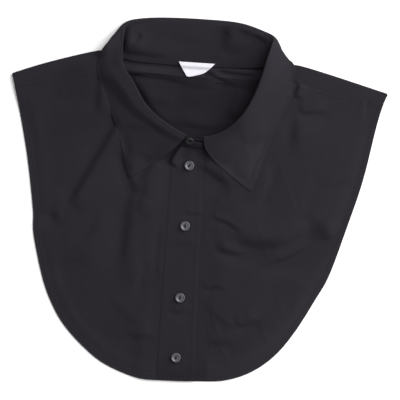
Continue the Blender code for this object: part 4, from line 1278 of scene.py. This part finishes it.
class COLLAR_OT_fronts(Operator):
    """Lay the two fronts with their folds"""

    bl_idname = "shirt_collar.fronts"
    bl_label = "Fronts"

    def execute(self, context):
        upper, lower = UPPER_BAND["seam"] - SEAM_PLAY, LOWER_BAND["seam"] + SEAM_PLAY
        right = build_front("front_right", "left", upper, LEFT_CORNER_X, right_front_height, "right_front")
        left = build_front("front_left", "right", lower, RIGHT_CORNER_X, front_height, "left_front")
        return {"FINISHED"}


def build_band(name, edges, limit, side, height, node_name):
    """A folded band between two edges, each x at a share of the way up, from the hem to the neck."""
    wall = cloth_settings().folded_wall

    def place(u, v):
        x = mix(edges[0](v), edges[1](v), u)
        y = mix(hem_y(x), neck_y(side, limit(x)), v)
        return np.c_[x, y, height(x, y)], np.c_[x, y]

    def walls(points, u, v):
        return np.full(len(u), wall / MM)

    def wear(points, u, v):
        return BAND_WEAR * (1.0 - ease(np.minimum(u, 1.0 - u) / 0.06))

    columns, rows = map(cells, GRID_SIZES[name])
    obj = new_cloth(name, columns, rows, place, wall, walls, wear)
    return finish_piece(obj, poplin(), "black_poplin", node_name)


def upper_edge(v):
    """The upper band's free edge, which wavers a little."""
    waver = 1.1 * rumple(0 * v, v * 250.0, 42.0, SEEDS["band_edge"]) * ease(8 * v) * ease(8 * (1 - v))
    return mix(UPPER_BAND["edge_at_hem"], UPPER_BAND["edge_at_neck"], v) + waver


class COLLAR_OT_bands(Operator):
    """Lay the upper band on the lower one down the centre front"""

    bl_idname = "shirt_collar.bands"
    bl_label = "Button bands"

    def execute(self, context):
        seam, lower_seam = UPPER_BAND["seam"] + SEAM_PLAY, LOWER_BAND["seam"] - SEAM_PLAY
        upper = build_band(
            "band_upper", (lambda v: 0 * v + seam, upper_edge),
            lambda x: np.minimum(x, UPPER_BAND["neck_end"]), "left", upper_band_height, "right_button_band",
        )
        lower = build_band(
            "band_lower", (lambda v: 0 * v + LOWER_BAND["edge"], lambda v: 0 * v + lower_seam),
            lambda x: np.maximum(x, LOWER_BAND["neck_end"]), "right", front_height, "left_button_band",
        )
        return {"FINISHED"}


# ---- the back


# The share of the back's rows below the shoulder strip, and how the strip's rows crowd at the fold.
STRIP_START = 0.72
STRIP_CROWDING = 1.35


class BackCut:
    """The back's edges in cloth coordinates: x, and the length past the start of the shoulder fold."""

    # The cloth in the fold, and the shares of the top edge along a shoulder seam and a round end.
    turn = math.pi * FOLD_RADIUS
    seam_share = 0.27
    neck_share = 0.08
    # How far the folded strip starts below the top edge, and how much less at the tips.
    below_top = 10.0
    spread = 4.0

    def __init__(self):
        self.corner_left = EDGE.share_where(lambda x, y: x > LEFT_CORNER_X)
        self.corner_right = EDGE.share_where(lambda x, y: x > RIGHT_CORNER_X)
        self.seams = {side: seam_line(side) for side in ("left", "right")}

    def inset(self, share):
        here, inward = edge_and_inward(share)
        return here + inward * (BACK_INSET * (1.0 - near_shoulder(here[:, 1])))[:, None]

    def neck_in_cloth(self, place):
        edge = seam_points(place)[1]
        centre = fold_centre_y(edge[:, 0])
        upper = self.turn + np.maximum(centre - edge[:, 1], 0.0)
        lower = np.minimum(edge[:, 1] - centre, 0.0)
        return np.stack([edge[:, 0], mix(upper, lower, tuck_share(ring_row(place)["wrap"]))], -1)

    def half_top(self, side, share):
        seam_end = 2 * self.seam_share
        round_end = seam_end + 2 * self.neck_share
        tip, end = self.seams[side]
        here = between(tip, end, np.minimum(share / seam_end, 1.0))
        seam = self.turn + fold_centre_y(here[:, 0]) - here[:, 1] - SEAM_SHRINK
        seam = np.stack([here[:, 0], seam], -1)
        round_share = np.clip((share - seam_end) / (round_end - seam_end), 0.0, 1.0)
        middle = (BACK_RING["left"] + BACK_RING["right"]) / 2
        rest = np.clip((share - round_end) / (1 - round_end), 0.0, 1.0)
        round_neck = mix(SEAM_RING[side], BACK_RING[side], round_share)
        place = np.where(share < round_end, round_neck, mix(BACK_RING[side], middle, rest))
        neck = self.neck_in_cloth(place)
        return np.where((share < seam_end)[:, None], seam, neck)

    def top(self, u):
        left, right = self.half_top("left", 2 * u), self.half_top("right", 2 - 2 * u)
        return np.where((u < 0.5)[:, None], left, right)

    def base(self, u):
        end = self.top(u)
        from_tip = np.minimum(u, 1.0 - u) / self.seam_share
        tip_x = np.where(u < 0.5, EDGE.points[0, 0], EDGE.points[-1, 0])
        left_x, right_x = (self.top(np.array([s]))[0, 0] for s in (self.seam_share, 1.0 - self.seam_share))
        neck_x = np.where(u < 0.5, left_x, right_x)
        x = np.where(from_tip < 1.0, mix(tip_x, neck_x, from_tip), end[:, 0])
        spread = self.spread * ease(1.0 - from_tip)
        return np.stack([x, np.minimum(end[:, 1] - self.below_top + spread, -1.0)], -1)

    def base_plan(self, u):
        here = self.base(u)
        return np.stack([here[:, 0], fold_centre_y(here[:, 0]) + here[:, 1]], -1)

    def flat_plan(self, u, v):
        def side_edge(corner, end):
            tip = self.base_plan(np.array([end]))
            return lambda s: np.where((s < 1)[:, None], self.inset(mix(corner, end, s)), tip)

        def hem(s):
            return self.inset(mix(self.corner_left, self.corner_right, s))

        left, right = side_edge(self.corner_left, 0.0), side_edge(self.corner_right, 1.0)
        return coons(u, v, hem, self.base_plan, left, right)

    def points(self, u, v):
        """Points and cloth coordinates: the flat back below STRIP_START, the folded strip above."""
        flat_at = self.flat_plan(u, np.minimum(v / STRIP_START, 1.0))
        x, y = flat_at[:, 0], flat_at[:, 1]
        lying = np.c_[flat_at, back_surface(x, y)]
        share = np.clip((v - STRIP_START) / (1 - STRIP_START), 0.0, 1.0)
        strip = between(self.base(u), self.top(u), share**STRIP_CROWDING)
        x, along = strip[:, 0], strip[:, 1]
        centre = fold_centre_y(x)
        low = back_surface(x, centre)
        angle = np.clip(along / FOLD_RADIUS, 0.0, math.pi)
        y = np.where(along <= 0, centre + along, centre + FOLD_RADIUS * np.sin(angle))
        y = np.where(along >= self.turn, centre - (along - self.turn), y)
        z = np.where(along <= 0, back_surface(x, y), low + FOLD_RADIUS * (1 - np.cos(angle)))
        z = np.where(along >= self.turn, front_height(x, y), z)
        folded = np.c_[x, y, z]
        strip_row = (v > STRIP_START)[:, None]
        cut = np.where(strip_row, np.c_[x, centre + along], flat_at)
        return np.where(strip_row, folded, lying), cut


def back_surface(x, y):
    """The back with the prints of the tucked fall and its own soft folds."""
    height = back_height(x, y)
    full = ease(tuck_lift(x, y) / 1.2)
    prints = fold_sum(NECK_PRINTS, x, y) * full
    near_neck = ease((y - 60.0) / 40.0)
    soft = uneven("back", x, y) * near_neck * mix(0.4, 1.0, full)
    under = fold_sum(BACK_FOLDS, x, y) + uneven("hidden_back", x, y) * (1.0 - near_neck)
    height = height + prints + np.maximum(soft, -0.2) + under + fold_sum(NECK_FOLDS, x, y)
    return np.maximum(height, TABLE_LEVEL - 0.25)


class COLLAR_OT_back(Operator):
    """Lay the back, with the strips that wrap forward over the shoulders"""

    bl_idname = "shirt_collar.back"
    bl_label = "Back"

    def execute(self, context):
        cloth = cloth_settings()
        cut = BackCut()

        def walls(points, u, v):
            plan = cut.flat_plan(u, np.minimum(v / STRIP_START, 1.0))
            off = EDGE.distance(plan[:, 0], plan[:, 1]) - BACK_INSET * (1.0 - near_shoulder(plan[:, 1]))
            return turned_wall(off, v < STRIP_START)

        def wear(points, u, v):
            # Painted shade on the inner face below the strips, deeper past y 122 towards the neck; the
            # strips get the hem's wear and painted light and are a little paler all over.
            inner = -cloth.inside * (1.0 + 0.9 * ease((points[:, 1] - 122.0) / 10.0))
            return np.where(v < STRIP_START, inner, hem_wear_and_painted_light(points, u, v) + HEM_WEAR_AND_PAINTED_LIGHT["strip"])

        obj = new_cloth("back", *CELLS["back"], cut.points, cloth.folded_wall, walls, wear)
        finish_piece(obj, poplin(), "black_poplin", "back_panel")
        return {"FINISHED"}


# ---- the collar


def ring_sheet(name, low, high, lengths, shape, node_name, wear):
    """A collar piece: columns along the ring, rows along each section."""
    columns, rows = CELLS[name]
    places = np.linspace(low, high, columns + 1)
    surface = CollarSurface(places)
    table = lengths(surface, np.linspace(0.0, 1.0, rows + 1))
    points = shape(surface.at(table), places)
    along = surface.along_rim()

    def place(u, v):
        i = np.clip(np.round(u * columns).astype(int), 0, columns)
        j = np.clip(np.round(v * rows).astype(int), 0, rows)
        return points[i, j], np.stack([along[i], table[i, j]], -1)

    obj = new_cloth(name, columns, rows, place, cloth_settings().collar_wall, None, wear)
    return finish_piece(obj, poplin(), "black_poplin", node_name)


def stand_lengths(surface, share):
    return surface.joint[:, None] * share


def fall_lengths(surface, share):
    """Rows lie closer together from the joint to past the rim."""
    split = FALL_ROWS["near"]
    near, far = np.minimum(share / split, 1.0), np.maximum((share - split) / (1.0 - split), 0.0)
    start, turn = surface.joint[:, None], (surface.rim + FALL_ROWS["past_rim"])[:, None]
    return start + (turn - start) * near + (surface.end[:, None] - turn) * far


def stand_shape(points, places):
    x, y = points[..., 0], points[..., 1]
    wrap = np.clip(ring_row(places)["wrap"], 0.0, 1.0)[:, None]
    extra = fold_sum(STAND_FOLDS, x, y) + uneven("stand", x, y)
    points[..., 2] += np.maximum(extra, -0.35) * ease((wrap - 0.4) / 0.5)
    # The foot is sewn down on to the back.
    foot = 1.0 - ease(np.linalg.norm(points - points[:, :1], axis=2) / 5.0)
    points[..., 2] -= (0.6 + 0.45 * rumple(x, y, 17.0, SEEDS["foot"])) * foot * ease((wrap - 0.6) / 0.4)
    return points


def stand_painted_shade(points, u, v):
    """Only painted shade on the inner face, which grows to the right and to the back."""
    across = mix(0.3, 1.0, ease((points[:, 0] - 5.0) / 35.0))
    return -cloth_settings().inside * across * ease((points[:, 1] - 130.0) / 20.0)


def fall_wear_and_painted_light(points, u, v):
    """Pale along the edges, on the rim at the back, on the left shoulder and at the right start, where the
    paleness is painted light.
    """
    place = 1.0 + u * (LAST_RING - 2.0)
    edges = np.maximum(ease((v - 0.975) / 0.025), 1 - ease(np.minimum(u, 1 - u) / 0.006))
    rim = (1 - ease(np.abs(v - 0.14) / 0.06)) * window(place, 9.5, 1.0, 15.5, 1.0)
    shoulder = window(place, 15.0, 0.8, 19.6, 1.2) * ease((v - 0.3) / 0.25)
    # Painted light: the right leaf's start, which slopes away from the lamp, is made paler.
    start = ease((3.4 - place) / 1.6) * ease((v - 0.22) / 0.2)
    shares = {"edge": edges, "rim": rim, "shoulder": shoulder, "start": start}
    return sum(FALL_WEAR_AND_PAINTED_LIGHT[name] * share for name, share in shares.items())


class COLLAR_OT_collar(Operator):
    """Raise the stand round the neck and turn the fall over it"""

    bl_idname = "shirt_collar.collar"
    bl_label = "Collar"

    def execute(self, context):
        end = LAST_RING
        stand = ring_sheet("stand", 0.0, end, stand_lengths, stand_shape, "collar_stand", stand_painted_shade)
        fall = ring_sheet("fall", 1.0, end - 1.0, fall_lengths, leaf_folds, "collar_fall", fall_wear_and_painted_light)
        return {"FINISHED"}


class COLLAR_OT_label(Operator):
    """Hang the bare ribbon label from the back neck seam"""

    bl_idname = "shirt_collar.label"
    bl_label = "Label"

    def execute(self, context):
        settings = context.scene.collar_label
        lift = LABEL_SOLID_WALL / 2 + GAP
        top, foot = np.array(LABEL["top"]), np.array(LABEL["foot"])

        def place(u, v):
            at = between(between(*foot, u), between(*top, u), v)
            corner = (2 * u - 1) ** 4 * (1 - v) ** 2
            at[:, 1] += LABEL["rounding"] * corner
            x, y = at[:, 0], at[:, 1]
            on_stand = ease((y - LABEL["on_stand_y"]) / LABEL["step"])
            height = back_height(x, y) + SOLID_WALL / 2 + lift
            height = height + on_stand * (COLLAR_SOLID_WALL + GAP + STAND_LIFT)
            height = height + 0.25 * rumple(x, y, 9.0, SEEDS["label"]) * (1 - on_stand)
            return np.c_[at, height], at

        obj = new_cloth("label", *CELLS["label"], place, settings.wall)
        finish_piece(obj, material("label_ribbon", weave_satin), "label_satin", "neck_label")
        return {"FINISHED"}


# ---- buttons


def button_blank(settings):
    """A turned button with a raised rim, a dished face and a fish-eye slot."""
    top = settings.height
    cylinder_add = bpy.ops.mesh.primitive_cylinder_add
    size = {"vertices": settings.segments, "radius": settings.radius, "depth": top}
    obj = primitive(cylinder_add, location=(0, 0, top / 2), **size)
    set_place(obj)
    bpy.ops.object.mode_set(mode="EDIT")
    pick(obj, "FACE", lambda face: face.normal.z > 0.9)
    for step, drop in BUTTON_STEPS:
        bpy.ops.mesh.inset(thickness=settings.rim * step)
        if drop:
            bpy.ops.transform.translate(value=(0, 0, -top * drop))
    bpy.ops.object.mode_set(mode="OBJECT")
    soften_edges(obj, "turned edges", *TURNED_EDGES)

    slot = primitive(
        bpy.ops.mesh.primitive_uv_sphere_add, segments=24, ring_count=12,
        radius=BUTTON_SLOT["radius"], location=(0, 0, top * BUTTON_SLOT["up"]), scale=BUTTON_SLOT["stretch"],
    )
    drill = {"vertices": 16, "radius": BUTTON_HOLE["radius"], "depth": top * 3}
    off = BUTTON_HOLE["off"]
    holes = [primitive(cylinder_add, location=(0, y, 0), **drill) for y in (-off, off)]
    for cutter in (slot, *holes):
        set_place(cutter)
        cut = obj.modifiers.new("cut", "BOOLEAN")
        cut.operation = "DIFFERENCE"
        cut.solver = "EXACT"
        cut.object = cutter
        apply_modifiers(obj)
        bpy.data.objects.remove(cutter)
    # The slot and the holes are cut, so they stay dull, and they are coloured near black as painted shade in
    # the recess.
    dull_slot_painted_shade = obj.data.attributes.new("dull_slot_painted_shade", "FLOAT", "FACE")
    for face, value in zip(obj.data.polygons, dull_slot_painted_shade.data):
        x, y, z = face.center
        inside = (x / SHADED_SLOT["half_breadth"]) ** 2 + (y / SHADED_SLOT["half_length"]) ** 2 < 1.0
        value.value = float(inside and (face.normal.z < 0.97 or z < top * SHADED_SLOT["below"]))
    return smooth(obj, 38)


def thread_bar(settings):
    """The thread that crosses between a button's two holes and goes down through them."""
    half, up = THREAD_BAR["half"], settings.height * THREAD_BAR["up"]
    obj = primitive(
        bpy.ops.mesh.primitive_cylinder_add, vertices=10, radius=THREAD_BAR["radius"], depth=2 * half,
        end_fill_type="TRIFAN", rotation=(math.pi / 2, 0, 0), location=(0, 0, up),
    )
    set_place(obj)
    bpy.ops.object.mode_set(mode="EDIT")
    bpy.ops.mesh.select_all(action="SELECT")
    bpy.ops.mesh.subdivide(number_cuts=5)
    bpy.ops.object.mode_set(mode="OBJECT")
    for vert in obj.data.vertices:
        vert.co.z -= THREAD_BAR["sag"] * max(abs(vert.co.y) / half - 0.35, 0.0) ** 1.5
        vert.co.x += THREAD_BAR["waver"] * math.sin(vert.co.y * 9000.0)
    return smooth(obj)


def buttonhole(settings):
    """A worked buttonhole: a narrow ring of purled thread drawn out to its length, with its slit."""
    ring, purl = BUTTONHOLE_RING["radius"], BUTTONHOLE_RING["purl"]
    obj = primitive(
        bpy.ops.mesh.primitive_torus_add, major_segments=28, minor_segments=8,
        major_radius=ring, minor_radius=purl,
    )
    bpy.ops.object.mode_set(mode="EDIT")
    for sign in (-1, 1):
        pick(obj, "VERT", lambda vert: sign * vert.co.y > 1e-5)
        bpy.ops.transform.translate(value=(0, sign * (settings.hole / 2 - ring - purl), 0))
    bpy.ops.mesh.select_all(action="SELECT")
    bpy.ops.transform.resize(value=(1, 1, BUTTONHOLE_RING["flatter"]))
    bpy.ops.object.mode_set(mode="OBJECT")
    return smooth(obj)


def settle(obj, matrix):
    obj.matrix_world = matrix
    set_place(obj)
    return obj


def copy_of(obj, name):
    made = obj.copy()
    made.data = obj.data.copy()
    made.name = made.data.name = name
    bpy.context.scene.collection.objects.link(made)
    return made


def neck_button_seat():
    """Where the neck button sits on the upper tab, and which way it faces, as on its solid."""
    upper_tab = len(RING) - 2
    ring = upper_tab + (NECK_BUTTON["x"] - RING[upper_tab][0]) / TABS_APART
    surface = CollarSurface([ring, ring - 0.1, ring + 0.1])
    up = NECK_BUTTON["up"] * surface.rim[0]
    at = surface.at(np.array([[up, up + 1.0, up - 1.0]] * 3))
    along, rise = at[2, 0] - at[1, 0], at[0, 1] - at[0, 2]
    normal = unit(np.cross(along, rise))
    if normal[1] > 0:
        normal = -normal
    normal = unit(normal - (0.0, NECK_BUTTON["lean"], 0.0))
    return at[0, 0] + normal * NECK_BUTTON["stand_off"], normal


class COLLAR_OT_buttons(Operator):
    """Sew on the fish-eye buttons over their worked buttonholes"""

    bl_idname = "shirt_collar.buttons"
    bl_label = "Buttons"

    def execute(self, context):
        settings = context.scene.collar_button
        blank, bar, hole = button_blank(settings), thread_bar(settings), buttonhole(settings)
        seat, normal = neck_button_seat()
        seats = [("neck_button", seat, normal)]
        for number in range(1, len(BUTTONHOLE_SHIFTS) + 1):
            low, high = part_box(f"front_button_{number}")
            middle = (low + high) / 2 / MM
            seat = np.array((middle.x, middle.y, low.z / MM - SOLID_WALL / 2 - GAP))
            seats.append((f"front_button_{number}", seat, np.array((0.0, 0.0, 1.0))))
        for (name, seat, normal), turn in zip(seats, BUTTON_TURNS):
            facing = Vector(normal).to_track_quat("Z", "Y").to_matrix().to_4x4()
            spin = Matrix.Rotation(math.radians(turn), 4, "Z")
            if name == "neck_button":
                spin = spin @ Matrix.Scale(NECK_BUTTON["size"], 4)
            foot = Matrix.Translation(Vector(seat + normal * (SOLID_WALL / 2 + GAP)) * MM)
            button = settle(copy_of(blank, name + "_turned"), foot @ facing @ spin)
            # The neck button gets its own darker, duller copy of the resin as painted shade.
            tone = settings.neck_painted_shade_tone if name == "neck_button" else 1.0
            finish = material("smoke_resin_painted_shade" if tone < 1.0 else "smoke_resin_polished", turn_resin, tone)
            finish_piece(button, finish, "smoke_resin", name)
            sewn = settle(copy_of(bar, name + "_thread"), foot @ facing @ spin)
            finish_piece(sewn, thread(), "black_poplin")
            if name != "neck_button":
                x, y = float(seat[0]), float(seat[1])
                z = float(upper_band_height(np.array([x]), np.array([y]))[0]) + 0.5
                shift = BUTTONHOLE_SHIFTS[int(name[-1]) - 1]
                place = Matrix.Translation(Vector((x, y + shift, z)) * MM)
                worked = settle(copy_of(hole, name + "_buttonhole"), place)
                finish_piece(worked, thread(), "black_poplin")
        for obj in (blank, bar, hole):
            bpy.data.objects.remove(obj)
        return {"FINISHED"}


# ---- stitching


def line_on(height, plan, lift):
    """Points of a plan line, lifted on to a surface."""
    plan = np.asarray(plan, float)
    return np.c_[plan, height(plan[:, 0], plan[:, 1]) + lift]


def front_column(grid, inset, step):
    """The first column that lies the inset inside the leaf's front edge, half way down it."""
    edge, half_way = (grid[0] if step > 0 else grid[-1]), grid.shape[1] // 2
    for column in range(1, 60) if step > 0 else range(-2, -60, -1):
        if np.linalg.norm(edge - grid[column, half_way], axis=1).min() >= inset:
            return column if column >= 0 else len(grid) + column
    raise ValueError("the collar's front edge stitching finds no column")


class COLLAR_OT_stitching(Operator):
    """Sew the hems, bands, shoulder seams and the collar's edges"""

    bl_idname = "shirt_collar.stitching"
    bl_label = "Stitching"

    def execute(self, context):
        cloth, settings = cloth_settings(), context.scene.collar_stitch
        thread_lift = settings.breadth / MM * 0.2
        walls = (cloth.wall, cloth.folded_wall, cloth.collar_wall)
        single, folded, collar = (wall / MM / 2 + thread_lift for wall in walls)

        edge, inward = edge_and_inward(np.linspace(*STITCH_RUNS["hem"]))
        inset = cloth.hem / MM - STITCH_INSETS["hem"]
        hem = edge + inward * inset
        left = hem[hem[:, 0] < UPPER_BAND["seam"] - 0.5]
        right = hem[hem[:, 0] > LOWER_BAND["seam"] + 0.5]
        lines = [line_on(right_front_height, left, folded), line_on(front_height, right, folded)]
        x = np.linspace(UPPER_BAND["seam"] + 1, UPPER_BAND["edge_at_hem"] - 1, 24)
        lines.append(line_on(upper_band_height, np.c_[x, hem_y(x) + inset], folded))
        seam_stitches("hem_stitches", lines)

        y = np.linspace(*STITCH_RUNS["band"])
        upper_left = np.c_[0 * y + UPPER_BAND["seam"] + STITCH_INSETS["band_seam"], y]
        free = mix(UPPER_BAND["edge_at_hem"], UPPER_BAND["edge_at_neck"], (y + 192) / 250)
        upper_right = np.c_[free - STITCH_INSETS["band_edge"], y]
        lower = np.c_[0 * y + LOWER_BAND["seam"] - STITCH_INSETS["band_seam"], y]
        lines = [line_on(upper_band_height, line, folded) for line in (upper_left, upper_right)]
        seam_stitches("band_stitches", [*lines, line_on(front_height, lower, folded)])

        lines = []
        for side in ("left", "right"):
            seam = between(*seam_line(side), np.linspace(*STITCH_RUNS["shoulder"]))
            for off in STITCH_INSETS["shoulder"]:
                lines.append(line_on(front_height, seam + (0.0, off), single))
        seam_stitches("shoulder_stitches", lines)

        places = np.linspace(*STITCH_RUNS["leaf"])
        surface = CollarSurface(places)
        inset = settings.collar_inset / MM
        down = (surface.end - inset - surface.joint)[:, None] * np.linspace(*STITCH_RUNS["down_leaf"])
        grid = leaf_folds(surface.at(surface.joint[:, None] + down), places)
        normals = unit(np.cross(np.gradient(grid, axis=0), np.gradient(grid, axis=1)))
        outward = np.where(normals[5, grid.shape[1] // 2, 2] > 0, 1.0, -1.0)
        outer = grid + normals * outward * collar
        # The leaf's front edge runs aslant to the ring, so the inset is measured square to it.
        first, last = front_column(grid, inset, 1), front_column(grid, inset, -1)
        bottom = outer[first:last, -1]
        sides = [outer[column, LEAF_STITCH_ROW:] for column in (first, last)]
        seam_stitches("collar_stitches", [sides[0], bottom, sides[1]])

        ring = np.linspace(*STITCH_RUNS["neck"])
        foot = CollarSurface(ring).at(np.full((len(ring), 1), STITCH_INSETS["neck"]))
        seam_stitches("neck_seam_stitches", [stand_shape(foot, ring)[:, 0] + (0, 0, collar)])
        return {"FINISHED"}


# ---------------------------------------------------------------- stage


class COLLAR_OT_stage(Operator):
    """Set the pale floor, the soft lights and the camera"""

    bl_idname = "shirt_collar.stage"
    bl_label = "Stage"

    def execute(self, context):
        settings = context.scene.collar_stage
        floor = primitive(bpy.ops.mesh.primitive_plane_add, size=8.0, location=(0, 0, -0.0002))
        floor.name = floor.data.name = "floor"
        set_place(floor)
        floor.data.materials.append(material("floor_paper", grain_floor))

        world = bpy.data.worlds.new("studio")
        context.scene.world = world
        world.use_nodes = True
        sky = world.node_tree.nodes["Background"]
        fill(sky, {}, {"Color": (1.0, 1.0, 1.0, 1.0), "Strength": settings.air})

        lamp = bpy.data.lights.new("key", "AREA")
        lamp.shape = "RECTANGLE"
        lamp.size = lamp.size_y = STAGE["lamp_size"]
        lamp.energy = settings.key
        key = bpy.data.objects.new("key", lamp)
        context.scene.collection.objects.link(key)
        key.location = STAGE["lamp_at"]
        key.rotation_euler = (Vector(STAGE["lamp_to"]) - key.location).to_track_quat("-Z", "Y").to_euler()

        camera = bpy.data.cameras.new("camera")
        camera.sensor_width = STAGE["sensor"]
        camera.lens = STAGE["sensor"] * settings.camera_height / settings.frame_width
        view = bpy.data.objects.new("camera", camera)
        view.location = (*STAGE["camera_over"], settings.camera_height)
        view.rotation_euler = (0.0, 0.0, math.radians(STAGE["turn"]))
        context.scene.collection.objects.link(view)
        context.scene.camera = view
        context.scene.view_settings.view_transform = "Standard"
        context.scene.view_settings.look = "None"
        return {"FINISHED"}


class COLLAR_PT_panel(Panel):
    """Lists the pieces of the shirt collar and their settings"""

    bl_label = "Shirt collar"
    bl_idname = "COLLAR_PT_panel"
    bl_space_type = "VIEW_3D"
    bl_region_type = "UI"
    bl_category = "Shirt collar"

    def draw(self, context):
        for group, operators in PANEL_ROWS:
            box = self.layout.box()
            settings = getattr(context.scene, group)
            for name in settings.bl_rna.properties.keys():
                if name not in ("rna_type", "name"):
                    box.prop(settings, name)
            for operator in operators:
                box.operator(operator.bl_idname)


PANEL_ROWS = (
    ("collar_cloth", (COLLAR_OT_back, COLLAR_OT_fronts, COLLAR_OT_bands, COLLAR_OT_collar)),
    ("collar_label", (COLLAR_OT_label,)),
    ("collar_button", (COLLAR_OT_buttons,)),
    ("collar_stitch", (COLLAR_OT_stitching,)),
    ("collar_stage", (COLLAR_OT_stage,)),
)
SETTINGS = {
    "collar_cloth": ClothSettings,
    "collar_label": LabelSettings,
    "collar_button": ButtonSettings,
    "collar_stitch": StitchSettings,
    "collar_stage": StageSettings,
}
OPERATORS = tuple(operator for _, row in PANEL_ROWS for operator in row)


def register():
    for cls in (*SETTINGS.values(), *OPERATORS, COLLAR_PT_panel):
        bpy.utils.register_class(cls)
    for name, cls in SETTINGS.items():
        setattr(bpy.types.Scene, name, PointerProperty(type=cls))


def unregister():
    for name in SETTINGS:
        delattr(bpy.types.Scene, name)
    for cls in (COLLAR_PT_panel, *reversed(OPERATORS), *reversed(list(SETTINGS.values()))):
        bpy.utils.unregister_class(cls)


def main():
    register()
    bpy.ops.shirt_collar.stage()
    bpy.ops.shirt_collar.back()
    bpy.ops.shirt_collar.fronts()
    bpy.ops.shirt_collar.bands()
    bpy.ops.shirt_collar.collar()
    bpy.ops.shirt_collar.label()
    bpy.ops.shirt_collar.buttons()
    bpy.ops.shirt_collar.stitching()


if __name__ == "__main__":
    main()
